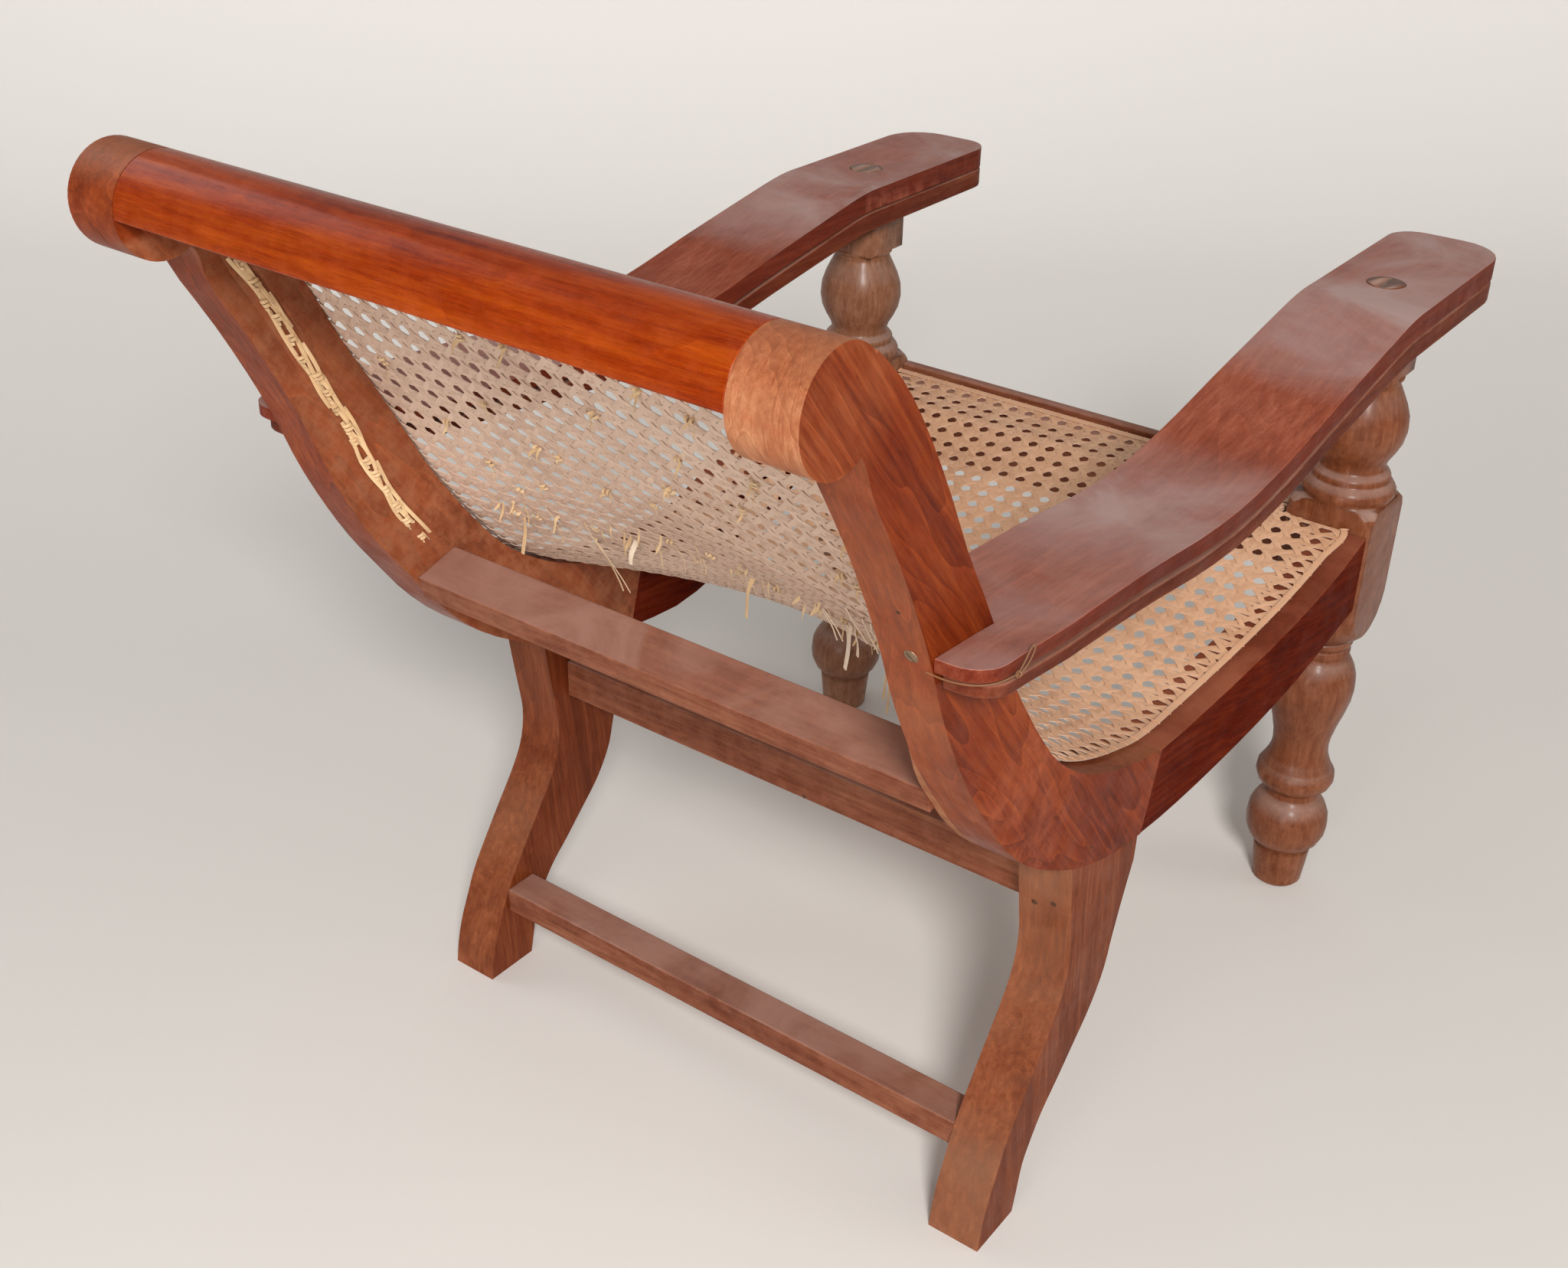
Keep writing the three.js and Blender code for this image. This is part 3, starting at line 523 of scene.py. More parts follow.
for side, turned in (("right", "turned"), ("left", "turned_far_painted_lit")):
    dress(f"stile_{side}", "stile", 0.0016)
    dress(f"seat_rail_{side}", "rail", 0.0016)
    dress(f"rear_leg_{side}", "leg", 0.0022)
    dress(f"front_leg_{side}", turned, 0.0)
    dress(f"arm_{side}", "arm", 0.0035)
    dress(f"leg_rest_{side}", "rest", 0.0026, body=f"leg_rest_{side}")
    dress(f"tenon_wedge_{side}", "pin", 0.0003)
dress("crest_rail", "crest", 0.0014)
dress("back_cross_rail", "cross", 0.002)
dress("rear_seat_rail", "cross", 0.0018)
dress("rear_stretcher", "cross", 0.002)
dress("front_rail", "cross", 0.0016)


# The sling's surface
# Stations of the stile, in mm: front y, front z, back y, back z
STILE_ROWS = np.array([
    (498, 890, 514, 836), (469, 862, 505, 823), (442, 825, 494, 797), (412, 775, 466, 749),
    (384, 722, 439, 697), (357, 677, 419, 653), (331, 632, 401, 607), (303, 583, 378, 560),
    (279, 548, 356, 522), (255, 516, 331, 486), (227, 483, 299, 443), (196, 457, 259, 403),
    (161, 435, 214, 372), (121, 417, 166, 346), (76, 402, 108, 325), (28, 390, 49, 314)]) * MM
# Stations of the seat rail, in mm: top y, top z, how far it bows outward
RAIL_ROWS = np.array([
    (-36, 387, 0), (-96, 394, 4.95), (-160, 408, 13.05), (-228, 424, 20.0), (-297, 438, 22.5),
    (-349, 450, 22.5)]) * MM
NOSE_ROWS = np.array([(-372, 450.5), (-398, 451.5), (-419, 455)]) * MM   # between the squares: y, z
CANE_HALF = 0.294                # half the sheet's width
BETWEEN_BLOCKS = 0.2515          # half its width between the front legs' squares
SQUARE_BACK_Y = -0.349           # where the squares begin
KNEE_Y = 0.212
SHEET_MIDDLE = 0.0016            # middle of the weave above the frame's surface
CREST_FOOT = 0.8617              # the sheet ends at this height under the crest
BRIDGE = 0.044                   # most that the middle of the sling stands off the knee
BRIDGE_REACH = 0.2
BRIDGE_ROUND = 1.5               # how steeply the bridge falls off to the sides
END_INSET = 0.002                # strands end this far inside the sheet's edge


def catmull(points, per=12):
    """Smooth line through points."""
    points = np.asarray(points, float)
    ends = np.vstack([2 * points[0] - points[1], points, 2 * points[-1] - points[-2]])
    out = []
    for i in range(1, len(ends) - 2):
        p0, p1, p2, p3 = ends[i - 1:i + 3]
        t = np.linspace(0, 1, per, endpoint=False)[:, None]
        out.append(0.5 * (2 * p1 + (p2 - p0) * t + (2 * p0 - 5 * p1 + 4 * p2 - p3) * t ** 2
                          + (3 * p1 - p0 - 3 * p2 + p3) * t ** 3))
    out.append(ends[-2:-1])
    return np.vstack(out)


def arc(line):
    """Length along a line at each of its points."""
    return np.concatenate([[0], np.cumsum(np.linalg.norm(np.diff(line, axis=0), axis=1))])


class Sling:
    """The caned surface: s runs from the crest down the back and along the seat to the front lip."""

    def __init__(self):
        rows = [(y, z, CANE_HALF) for y, z in STILE_ROWS[1:, :2]]
        rows += [(y, z, CANE_HALF + w) for y, z, w in RAIL_ROWS]
        rows += [(y, z, BETWEEN_BLOCKS) for y, z in NOSE_ROWS]
        smooth = catmull(rows)
        smooth = smooth[smooth[:, 1] < CREST_FOOT] if smooth[0, 1] > CREST_FOOT else smooth
        self.line = smooth[:, :2]
        self.s = arc(self.line)
        half = smooth[:, 2].copy()
        self.block = float(np.interp(-SQUARE_BACK_Y, -self.line[:, 0], self.s))
        half[self.s <= self.block] = np.maximum(half[self.s <= self.block], CANE_HALF)
        half[self.s > self.block] = BETWEEN_BLOCKS
        self.half = half
        tangent = np.gradient(self.line, axis=0)
        self.tangent = tangent / np.linalg.norm(tangent, axis=1)[:, None]
        self.length = float(self.s[-1])
        self.knee = float(np.interp(-KNEE_Y, -self.line[:, 0], self.s))

    def at(self, x, s, lift):
        """Points in space, and the outward normal, for arrays of x, s and lift above the middle."""
        y = np.interp(s, self.s, self.line[:, 0])
        z = np.interp(s, self.s, self.line[:, 1])
        ty = np.interp(s, self.s, self.tangent[:, 0])
        tz = np.interp(s, self.s, self.tangent[:, 1])
        along = np.stack([np.zeros_like(y), ty, tz], -1)
        along /= np.linalg.norm(along, axis=1)[:, None]
        n = np.stack([np.zeros_like(y), along[:, 2], -along[:, 1]], -1)
        # drawn tight between the rails, the middle bridges the knee
        share = np.clip(1 - (x / CANE_HALF) ** 2, 0, 1)
        hump = BRIDGE * np.exp(-((s - self.knee) / BRIDGE_REACH) ** 2)
        rise = hump * share ** BRIDGE_ROUND
        slope_s = rise * -2 * (s - self.knee) / BRIDGE_REACH ** 2
        slope_x = hump * BRIDGE_ROUND * share ** (BRIDGE_ROUND - 1) * -2 * x / CANE_HALF ** 2
        tilted = n - along * slope_s[:, None] - np.stack([slope_x, 0 * x, 0 * x], -1)
        tilted /= np.linalg.norm(tilted, axis=1)[:, None]
        base = np.stack([x, y, z], -1) + n * rise[:, None] + tilted * (SHEET_MIDDLE + lift)[:, None]
        return base, tilted

    def edge(self, s):
        """Half the sheet's width at s."""
        return np.interp(s, self.s, self.half)


sling = Sling()


class Paths:
    """Strand paths, with the way each one's skin faces, its taper and its own number."""

    def __init__(self):
        self.points, self.ups, self.tapers, self.marks, self.links = [], [], [], [], []
        self.count = 0
        self.strand = 0

    def add(self, centre, up, taper=1.0):
        """One strand along centre, with its skin toward up."""
        k = len(centre)
        self.points.append(np.asarray(centre, float))
        self.ups.append(np.broadcast_to(np.asarray(up, float), (k, 3)))
        self.tapers.append(np.broadcast_to(np.asarray(taper, float), (k,)))
        self.marks.append(np.full(k, float(self.strand)))
        first = self.count + np.arange(k - 1)
        self.links.append(np.stack([first, first + 1], 1))
        self.count += k
        self.strand += 1

    def mesh(self, name):
        """All strands as edges that carry the skin's way, the taper and the strand's number."""
        points, links = np.vstack(self.points), np.vstack(self.links)
        mesh = bpy.data.meshes.new(name)
        mesh.vertices.add(len(points))
        mesh.vertices.foreach_set("co", points.ravel())
        mesh.edges.add(len(links))
        mesh.edges.foreach_set("vertices", links.ravel().astype(np.int32))
        facing = mesh.attributes.new("facing", "FLOAT_VECTOR", "POINT")
        facing.data.foreach_set("vector", np.vstack(self.ups).ravel())
        for label, values in (("taper", self.tapers), ("mark", self.marks)):
            layer = mesh.attributes.new(label, "FLOAT", "POINT")
            layer.data.foreach_set("value", np.concatenate(values))
        mesh.update()
        return mesh


class Tree:
    """A Geometry Nodes tree under construction, with named inputs."""

    def __init__(self, name, inputs):
        self.tree = bpy.data.node_groups.new(name, "GeometryNodeTree")
        face = self.tree.interface
        face.new_socket(name="Geometry", in_out="INPUT", socket_type="NodeSocketGeometry")
        self.keys = {}
        for label, kind in inputs:
            socket = face.new_socket(name=label, in_out="INPUT", socket_type=f"NodeSocket{kind}")
            self.keys[label] = socket.identifier
        face.new_socket(name="Geometry", in_out="OUTPUT", socket_type="NodeSocketGeometry")
        self.source = self.tree.nodes.new("NodeGroupInput")
        self.result = self.tree.nodes.new("NodeGroupOutput")

    def add(self, kind, wires=None, values=None, **settings):
        """A new node with its settings, its values by input and its links by input."""
        node = self.tree.nodes.new(kind)
        for key, value in settings.items():
            setattr(node, key, value)
        for key, value in (values or {}).items():
            node.inputs[key].default_value = value
        for key, (other, out) in (wires or {}).items():
            self.tree.links.new(other.outputs[out], node.inputs[key])
        return node

    def named(self, label, kind):
        """A value that the paths carry under this name."""
        return self.add("GeometryNodeInputNamedAttribute", values={0: label}, data_type=kind)

    def close(self, node, out=0):
        """Ends the tree with what this node gives."""
        self.tree.links.new(node.outputs[out], self.result.inputs[0])


SKIN_SPAN = 0.8                  # how much of the material's width one strand takes
PITH_FACING = 0.2                # faces turned farther from the skin's way than this are pith


def strand_tree():
    """Split cane swept along every path: crowned, mapped along its run, skin on one face, pith below."""
    t = Tree("split cane along paths", [("Strand width", "Float"), ("Strand thickness", "Float"),
                                        ("Skin", "Material"), ("Pith", "Material")])
    length = t.add("GeometryNodeSplineParameter")
    paths = t.add("GeometryNodeMeshToCurve", {"Mesh": (t.source, "Geometry")})
    rail = t.add("GeometryNodeCaptureAttribute")
    rail.capture_items.new("FLOAT", "along")
    t.tree.links.new(paths.outputs[0], rail.inputs["Geometry"])
    t.tree.links.new(length.outputs["Length"], rail.inputs["along"])
    facing = t.named("facing", "FLOAT_VECTOR")
    turned = t.add("GeometryNodeSetCurveNormal", {"Curve": (rail, "Geometry"), "Normal": (facing, 0)},
                   mode="FREE")
    lens = t.add("GeometryNodeCurvePrimitiveCircle", values={"Resolution": 6, "Radius": 0.5})
    size = t.add("ShaderNodeCombineXYZ", {0: (t.source, "Strand thickness"), 1: (t.source, "Strand width")},
                 {2: 1.0})
    section = t.add("GeometryNodeTransform", {"Geometry": (lens, 0), "Scale": (size, 0)})
    rim = t.add("GeometryNodeCaptureAttribute")
    rim.capture_items.new("FLOAT", "round")
    t.tree.links.new(section.outputs[0], rim.inputs["Geometry"])
    t.tree.links.new(t.add("GeometryNodeSplineParameter").outputs["Factor"], rim.inputs["round"])
    taper = t.named("taper", "FLOAT")
    swept = t.add("GeometryNodeCurveToMesh", {"Curve": (turned, 0), "Profile Curve": (rim, "Geometry"),
                                              "Scale": (taper, 0)}, {"Fill Caps": True})
    mark = t.named("mark", "FLOAT")
    part = t.add("ShaderNodeMath", {0: (rim, "round")}, {1: SKIN_SPAN}, operation="MULTIPLY")
    across = t.add("ShaderNodeMath", {0: (mark, 0), 1: (part, 0)}, operation="ADD")
    run = t.add("ShaderNodeCombineXYZ", {0: (across, 0), 1: (rail, "along")})
    mapped = t.add("GeometryNodeStoreNamedAttribute", {"Geometry": (swept, 0)}, {"Name": "run"},
                   data_type="FLOAT2", domain="CORNER")
    t.tree.links.new(run.outputs[0], mapped.inputs["Value"])
    normal = t.add("GeometryNodeInputNormal")
    side = t.add("ShaderNodeVectorMath", {0: (normal, 0), 1: (facing, 0)}, operation="DOT_PRODUCT")
    under = t.add("FunctionNodeCompare", data_type="FLOAT", operation="LESS_THAN")
    t.tree.links.new(side.outputs["Value"], under.inputs["A"])
    under.inputs["B"].default_value = PITH_FACING
    real = t.add("GeometryNodeRealizeInstances", {0: (mapped, 0)})
    skin = t.add("GeometryNodeSetMaterial", {"Geometry": (real, 0), "Material": (t.source, "Skin")})
    pith = t.add("GeometryNodeSetMaterial", {"Geometry": (skin, 0), "Selection": (under, 0),
                                             "Material": (t.source, "Pith")})
    t.close(pith)
    return t


def loop_tree():
    """Small cane loops tied over a binder at even steps along it."""
    t = Tree("loops over the binder", [("Step", "Float"), ("Span", "Float"), ("Rise", "Float"),
                                       ("Thickness", "Float"), ("Seed", "Int"), ("Cane", "Material")])
    path = t.add("GeometryNodeMeshToCurve", {"Mesh": (t.source, "Geometry")})
    facing = t.named("facing", "FLOAT_VECTOR")
    turned = t.add("GeometryNodeSetCurveNormal", {"Curve": (path, 0), "Normal": (facing, 0)}, mode="FREE")
    places = t.add("GeometryNodeCurveToPoints", {"Curve": (turned, 0), "Length": (t.source, "Step")},
                   mode="LENGTH")
    across = t.add("ShaderNodeVectorMath", {0: (places, "Tangent"), 1: (places, "Normal")},
                   operation="CROSS_PRODUCT")
    turn = t.add("FunctionNodeAxesToRotation", {"Primary Axis": (places, "Normal"),
                                                "Secondary Axis": (across, 0)},
                 primary_axis="Z", secondary_axis="X")
    arch = t.add("GeometryNodeCurveArc", values={"Resolution": 7, "Radius": 0.5, "Sweep Angle": math.pi})
    stand = t.add("GeometryNodeTransform", {"Geometry": (arch, 0)}, {"Rotation": Euler((math.pi / 2, 0, 0))})
    size = t.add("ShaderNodeCombineXYZ", {0: (t.source, "Span"), 1: (t.source, "Span"),
                                          2: (t.source, "Rise")})
    fitted = t.add("GeometryNodeTransform", {"Geometry": (stand, 0), "Scale": (size, 0)})
    wire = t.add("GeometryNodeCurvePrimitiveCircle", values={"Resolution": 6})
    t.tree.links.new(t.source.outputs["Thickness"], wire.inputs["Radius"])
    loop = t.add("GeometryNodeCurveToMesh", {"Curve": (fitted, 0), "Profile Curve": (wire, 0)},
                 {"Fill Caps": True})
    sway = t.add("FunctionNodeRandomValue", data_type="FLOAT_VECTOR")
    for key, value in ((0, (0.85, 0.85, 0.8)), (1, (1.1, 1.1, 1.15))):
        sway.inputs[key].default_value = value
    t.tree.links.new(t.source.outputs["Seed"], sway.inputs["Seed"])
    placed = t.add("GeometryNodeInstanceOnPoints", {"Points": (places, "Points"), "Instance": (loop, 0),
                                                    "Rotation": (turn, 0), "Scale": (sway, 0)})
    real = t.add("GeometryNodeRealizeInstances", {0: (placed, 0)})
    done = t.add("GeometryNodeSetMaterial", {"Geometry": (real, 0), "Material": (t.source, "Cane")})
    t.close(done)
    return t


STRANDS = strand_tree()
LOOPS = loop_tree()


def grown(mesh, tree, values, name):
    """The mesh that a tree grows from the given paths, as a plain object with its faces outward."""
    seed_object = bpy.data.objects.new(name, mesh)
    bpy.context.scene.collection.objects.link(seed_object)
    modifier = seed_object.modifiers.new("grow", "NODES")
    modifier.node_group = tree.tree
    for label, value in values.items():
        modifier[tree.keys[label]] = value
    graph = bpy.context.evaluated_depsgraph_get()
    final = bpy.data.meshes.new_from_object(seed_object.evaluated_get(graph))
    bpy.data.objects.remove(seed_object)
    for poly in final.polygons:
        poly.use_smooth = True
    final.set_sharp_from_angle(angle=CANE_CREASE)
    piece = bpy.data.objects.new(name, final)
    bpy.context.scene.collection.objects.link(piece)
    return piece


def cane_piece(paths, name, width, thick, finishes):
    """All of the given strands as one piece of the chair."""
    piece = grown(paths.mesh(name), STRANDS, {"Strand width": width, "Strand thickness": thick,
                                              "Skin": finishes[0], "Pith": finishes[1]}, name)
    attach(piece, "chair")
    return piece


CANE = [
    cane_material("cane_skin", (0.78, 0.47, 0.29), (0.68, 0.385, 0.225), (0.5, 0.25, 0.135), 0.45, 0.05, 1),
    cane_material("cane_pith", (0.74, 0.55, 0.43), (0.63, 0.45, 0.345), (0.46, 0.3, 0.22), 0.75, 0.0, 5),
]
FRESH_CANE = [
    cane_material("cane_end_skin", (0.82, 0.62, 0.36), (0.74, 0.5, 0.27), (0.55, 0.34, 0.16), 0.5, 0.0, 9),
    cane_material("cane_end_pith", (0.8, 0.64, 0.45), (0.7, 0.53, 0.34), (0.5, 0.34, 0.2), 0.75, 0.0, 12),
]

# The weave
PITCH = 0.0205                   # from one pair of strands to the next
PAIR = 0.0028                    # each strand of a pair from the middle of its pair
STRAND = 0.0054
DIAGONAL = 0.0058
SPLIT = 0.0012                   # strand thickness
WEAVE = 0.0006                   # rise over and under within a crossing pair
CROSS = 0.00115                  # rise of the diagonals over and under the pairs
BORDER = 0.036                   # band beside the binder that the lengthwise pairs leave free
ROW_PHASE = 0.010                # first crosswise pair from the crest
WEAVE_HALF = 0.33                # half the width that the strands are laid out over
WAVER = 0.0004                   # how far a strand wanders sideways
PAIR_SPREAD, DIAGONAL_SPREAD = (0.92, 1.08), (0.94, 1.06)   # how strands differ in width
PAIR_PULL, DIAGONAL_PULL = 0.75 * BORDER, 0.6 * BORDER      # where strands start to turn to the holes
QUARTER = 0.25 * PITCH           # from point to point along a diagonal
COLUMNS = int(WEAVE_HALF / PITCH)
ROWS = int(sling.length / PITCH) + 1
CROSSING_SHARES = (-0.5, -0.3, -PAIR / PITCH, PAIR / PITCH, 0.3)   # of a pitch, from a pair's middle
CROSSING_LIFTS = (0, 0, 1, -1, 0)


def on_sling(x, s, inset):
    """The unbroken stretches of a strand that lie on the sling, as pairs of indices."""
    ok = (np.abs(x) <= sling.edge(s) - inset) & (s >= END_INSET) & (s <= sling.length - END_INSET)
    marks = np.flatnonzero(np.diff(np.concatenate([[0], ok.astype(int), [0]])))
    return [(a, b) for a, b in zip(marks[::2], marks[1::2]) if b - a > 3]


def toward_holes(x, s, reach):
    """How far each place is on its way to the holes along the frame, from 0 to 1."""
    pull = np.clip((np.abs(x) - (sling.edge(s) - reach)) / reach, 0, 1)
    return pull * pull * (3 - 2 * pull)


def stations(first, last):
    """Five places for each pair that a strand crosses, and how far it rises or dips at each."""
    places = (np.arange(first, last)[:, None] + CROSSING_SHARES).ravel() * PITCH
    return places, np.tile(CROSSING_LIFTS, last - first) * WEAVE


def lengthwise():
    """Pairs of strands from the crest to the front, clear of the side borders."""
    paths = Paths()
    s, rise = stations(-1, ROWS + 1)
    s = s + ROW_PHASE
    for i in range(-COLUMNS, COLUMNS + 1):
        for k, side in enumerate((-1, 1)):
            x = i * PITCH + side * PAIR + WAVER * np.sin(s * 23 + i * 2.1 + k)
            for a, b in on_sling(x, s, BORDER):
                centre, normal = sling.at(x[a:b], s[a:b], -side * rise[a:b])
                paths.add(centre, normal, RNG.uniform(*PAIR_SPREAD))
    return paths


def crosswise():
    """Pairs of strands from side to side, whose ends part on their way to the holes."""
    paths = Paths()
    x, rise = stations(-COLUMNS - 1, COLUMNS + 2)
    for j in range(-1, ROWS + 1):
        row = j * PITCH + ROW_PHASE
        pull = toward_holes(x, np.full_like(x, row), PAIR_PULL)
        for k, side in enumerate((-1, 1)):
            s = row + side * (PAIR + (PITCH / 4 - PAIR) * pull) + WAVER * np.sin(x * 19 + j * 1.7 + k)
            lift = side * rise * (pull <= 0)
            for a, b in on_sling(x, s, END_INSET):
                centre, normal = sling.at(x[a:b], s[a:b], lift[a:b])
                paths.add(centre, normal, RNG.uniform(*PAIR_SPREAD))
    return paths


def drawn_to_holes(s, pull, a, b):
    """A diagonal's run from a to b, with its ends drawn to the nearest holes."""
    run = s[a:b].copy()
    for end in (a, b - 1):
        if pull[end] > 0.5:
            hole = (np.floor((s[end] - ROW_PHASE) * 2 / PITCH) + 0.5) * PITCH / 2 + ROW_PHASE
            near = np.abs(np.arange(a, b) - end) * QUARTER < BORDER
            run += np.where(near, pull[a:b] * (hole - s[end]), 0)
    return run


def diagonals(sense):
    """Strands on the slant, between the pairs' crossings, so that each opening has eight sides."""
    paths = Paths()
    t = np.arange(-8, 8 * (ROWS + COLUMNS) + 8) * QUARTER
    s = t + ROW_PHASE
    # over the crosswise pairs and under the lengthwise ones, or the other way about
    lift = CROSS * np.cos(2 * np.pi * t / PITCH) * sense
    for m in range(-ROWS - COLUMNS - 3, ROWS + COLUMNS + 4):
        x = sense * ((m + 0.5) * PITCH - t)
        pull = toward_holes(x, s, DIAGONAL_PULL)
        for a, b in on_sling(x, s, END_INSET):
            run = drawn_to_holes(s, pull, a, b)
            centre, normal = sling.at(x[a:b], run, lift[a:b] * (1 - 0.5 * pull[a:b]))
            paths.add(centre, normal, RNG.uniform(*DIAGONAL_SPREAD))
    return paths


for name, paths, width in (("cane_lengthwise", lengthwise(), STRAND),
                           ("cane_crosswise", crosswise(), STRAND),
                           ("cane_rising", diagonals(1), DIAGONAL),
                           ("cane_falling", diagonals(-1), DIAGONAL)):
    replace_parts(cane_piece(paths, name, width, SPLIT, CANE), "cane_sling")

# The binder canes
BINDER_LIFT = 0.0021             # binder above the weave's middle
BINDER_WIDE = 0.0074
BINDER_THICK = 0.0016
BINDER_INSET = 0.0028            # binder's middle from the sheet's edge
BINDER_STEP = 0.006              # between the points of its path
TIE_OVERLAP = 0.0008             # how much wider than the binder a tie is
TIE_RISE = 0.0024
TIE_RADIUS = 0.00045
CREST_BINDER_HALF, CREST_BINDER_STEP = 0.287, 0.007
FRONT_BINDER_HALF, FRONT_BINDER_STEP = 0.25, 0.00625
CREST_BINDER_S = 0.0045          # from the sheet's upper end
FRONT_BINDER_S = 0.0065          # from its front end


def binder(name, xs, ss, node):
    """Crowned binder cane, and the loops that tie it down at even steps."""
    centre, normal = sling.at(xs, ss, np.full_like(xs, BINDER_LIFT))
    paths = Paths()
    paths.add(centre, normal)
    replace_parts(cane_piece(paths, f"{name}_band", BINDER_WIDE, BINDER_THICK, CANE), node)
    ties = grown(paths.mesh(f"{name}_ties"), LOOPS,
                 {"Step": PITCH, "Span": BINDER_WIDE + TIE_OVERLAP, "Rise": TIE_RISE, "Thickness": TIE_RADIUS,
                  "Seed": 3, "Cane": CANE[0]}, f"{name}_ties")
    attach(ties, "chair")


side_s = np.arange(END_INSET, sling.block - 0.001, BINDER_STEP)
for side, sign in (("right", -1), ("left", 1)):
    binder(f"binder_{side}", sign * (sling.edge(side_s) - BINDER_INSET), side_s, f"cane_binder_{side}")
crest_x = np.arange(-CREST_BINDER_HALF, CREST_BINDER_HALF + 0.0001, CREST_BINDER_STEP)
binder("binder_crest", crest_x, np.full_like(crest_x, CREST_BINDER_S), "cane_binder_crest")
front_x = np.arange(-FRONT_BINDER_HALF, FRONT_BINDER_HALF + 0.0001, FRONT_BINDER_STEP)
binder("binder_front", front_x, np.full_like(front_x, sling.length - FRONT_BINDER_S), "cane_binder_front")

# Cane ends behind the back
END_LIFT = -0.0012               # loose ends start this far from the weave's middle
KNOT_LIFT = -0.0022
END_CURL = 0.0012                # how far a loose end curls sideways
KNOT_SIZE = (0.006, 0.009)
SHORT_END = (0.006, 0.014)       # lengths
FRINGE_HALF = 0.235              # half the width of the fringe low in the back
# The larger knots, in mm: x, and distance from the crest
KNOTS = [(225, 170), (105, 240), (87, 245), (-2, 150), (60, 285), (10, 280), (105, 105), (60, 102),
         (-65, 102), (-105, 117), (-70, 175), (-107, 220), (-180, 265), (-192, 272), (150, 60), (20, 30),
         (-150, 55), (185, 290), (-30, 235), (-140, 170), (200, 240), (130, 190), (-210, 200), (140, 310),
         (175, 330)]
# The larger ends: x, distance from the crest, length, how it leans and how it droops
LONG_ENDS = [(0.15, 0.41, 0.05, -0.9, 0.35), (0.15, 0.42, 0.034, -0.9, 0.7), (-0.17, 0.41, 0.022, 0.2, 1.0),
             (-0.176, 0.405, 0.026, 0.1, 1.1), (-0.02, 0.41, 0.02, 0.25, 1.0),
             (0.205, 0.39, 0.018, 0.2, 1.0)]
TORN_ENDS = [(-0.105, 0.392, 0.03, -0.95, 0.0), (-0.1, 0.398, 0.026, -0.85, 0.1),
             (-0.122, 0.408, 0.018, -0.1, 0.9), (-0.128, 0.405, 0.02, 0.1, 1.0),
             (-0.133, 0.402, 0.013, -0.3, 0.8), (-0.155, 0.336, 0.03, -0.95, 0.0),
             (-0.168, 0.34, 0.026, -0.9, 0.15), (-0.175, 0.342, 0.018, -0.6, -0.2),
             (0.1, 0.405, 0.014, 0.3, 0.7)]
TORN_WHITE = cane_material("cane_torn_white", (0.95, 0.82, 0.66), (0.9, 0.74, 0.56), (0.74, 0.56, 0.4),
                           0.6, 0.1, 33)


def loose_end(paths, x, s, length, lean, droop, taper=True):
    """A cut end that stands out behind the weave, leans sideways and droops."""
    base, normal = sling.at(np.array([x]), np.array([s]), np.array([END_LIFT]))
    ahead, _ = sling.at(np.array([x]), np.array([s + 0.004]), np.array([END_LIFT]))
    back = -normal[0]
    down = ahead[0] - base[0]
    down /= np.linalg.norm(down)
    across = np.cross(down, back)
    share = np.linspace(0, 1, 9)[:, None]
    way = back * 0.55 + across * lean + down * 0.5
    way /= np.linalg.norm(way)
    curve = base[0] + way * share * length + np.array([0, 0, -1]) * (share ** 2) * droop * length
    curve = curve + across * np.sin(share * 5 + x * 40) * END_CURL
    width = (1.0 - 0.65 * share[:, 0] ** 2) if taper else np.ones(9)
    paths.add(curve, np.tile(across * 0.3 + back, (9, 1)), width)


def coil(centre, turns, points, first, second, radii, run):
    """A few turns round two directions while the centre moves along run, and the way the skin faces."""
    angle = np.linspace(0, turns * 2 * np.pi, points)
    outward = np.outer(np.cos(angle), first) + np.outer(np.sin(angle), second)
    curve = centre + np.outer(np.cos(angle), first) * radii[0] + np.outer(np.sin(angle), second) * radii[1]
    return curve + np.outer(angle, run), outward


def knot(paths, x, s, size):
    """Short turns wrapped round a crossing on the rear of the weave."""
    base, normal = sling.at(np.array([x]), np.array([s]), np.array([KNOT_LIFT]))
    back = -normal[0]
    axis = np.array((RNG.uniform(-1, 1), RNG.uniform(-1, 1), RNG.uniform(-1, 1)))
    across = np.cross(back, axis)
    across /= np.linalg.norm(across)
    along = np.cross(back, across)
    curve, outward = coil(base[0] - 0.5 * size * along, 1.6, 18, across, back, (size * 0.42, size * 0.3),
                          along * size / 10)
    paths.add(curve, outward, 0.7)


def rear_ends():
    """Knots and short ends: the larger ones at their places, and a fringe spread by the seed."""
    paths = Paths()
    for x, s in KNOTS:
        knot(paths, x * MM, s * MM, RNG.uniform(*KNOT_SIZE))
        loose_end(paths, x * MM, s * MM, RNG.uniform(*SHORT_END), RNG.uniform(-0.8, 0.8),
                  RNG.uniform(0.1, 0.6))
        if RNG.random() > 0.45:
            loose_end(paths, x * MM + 0.002, s * MM + 0.002, RNG.uniform(0.006, 0.012), RNG.uniform(-1, 1),
                      0.3)
    for x in np.arange(-FRINGE_HALF, FRINGE_HALF + 0.0001, PITCH):
        for _ in range(2):
            loose_end(paths, x + RNG.uniform(-0.008, 0.008), RNG.uniform(0.36, 0.42),
                      RNG.uniform(*SHORT_END), RNG.uniform(-0.9, 0.9), RNG.uniform(0.3, 0.9))
        if RNG.random() > 0.4:
            knot(paths, x + RNG.uniform(-0.008, 0.008), RNG.uniform(0.37, 0.415), RNG.uniform(*KNOT_SIZE))
    return paths


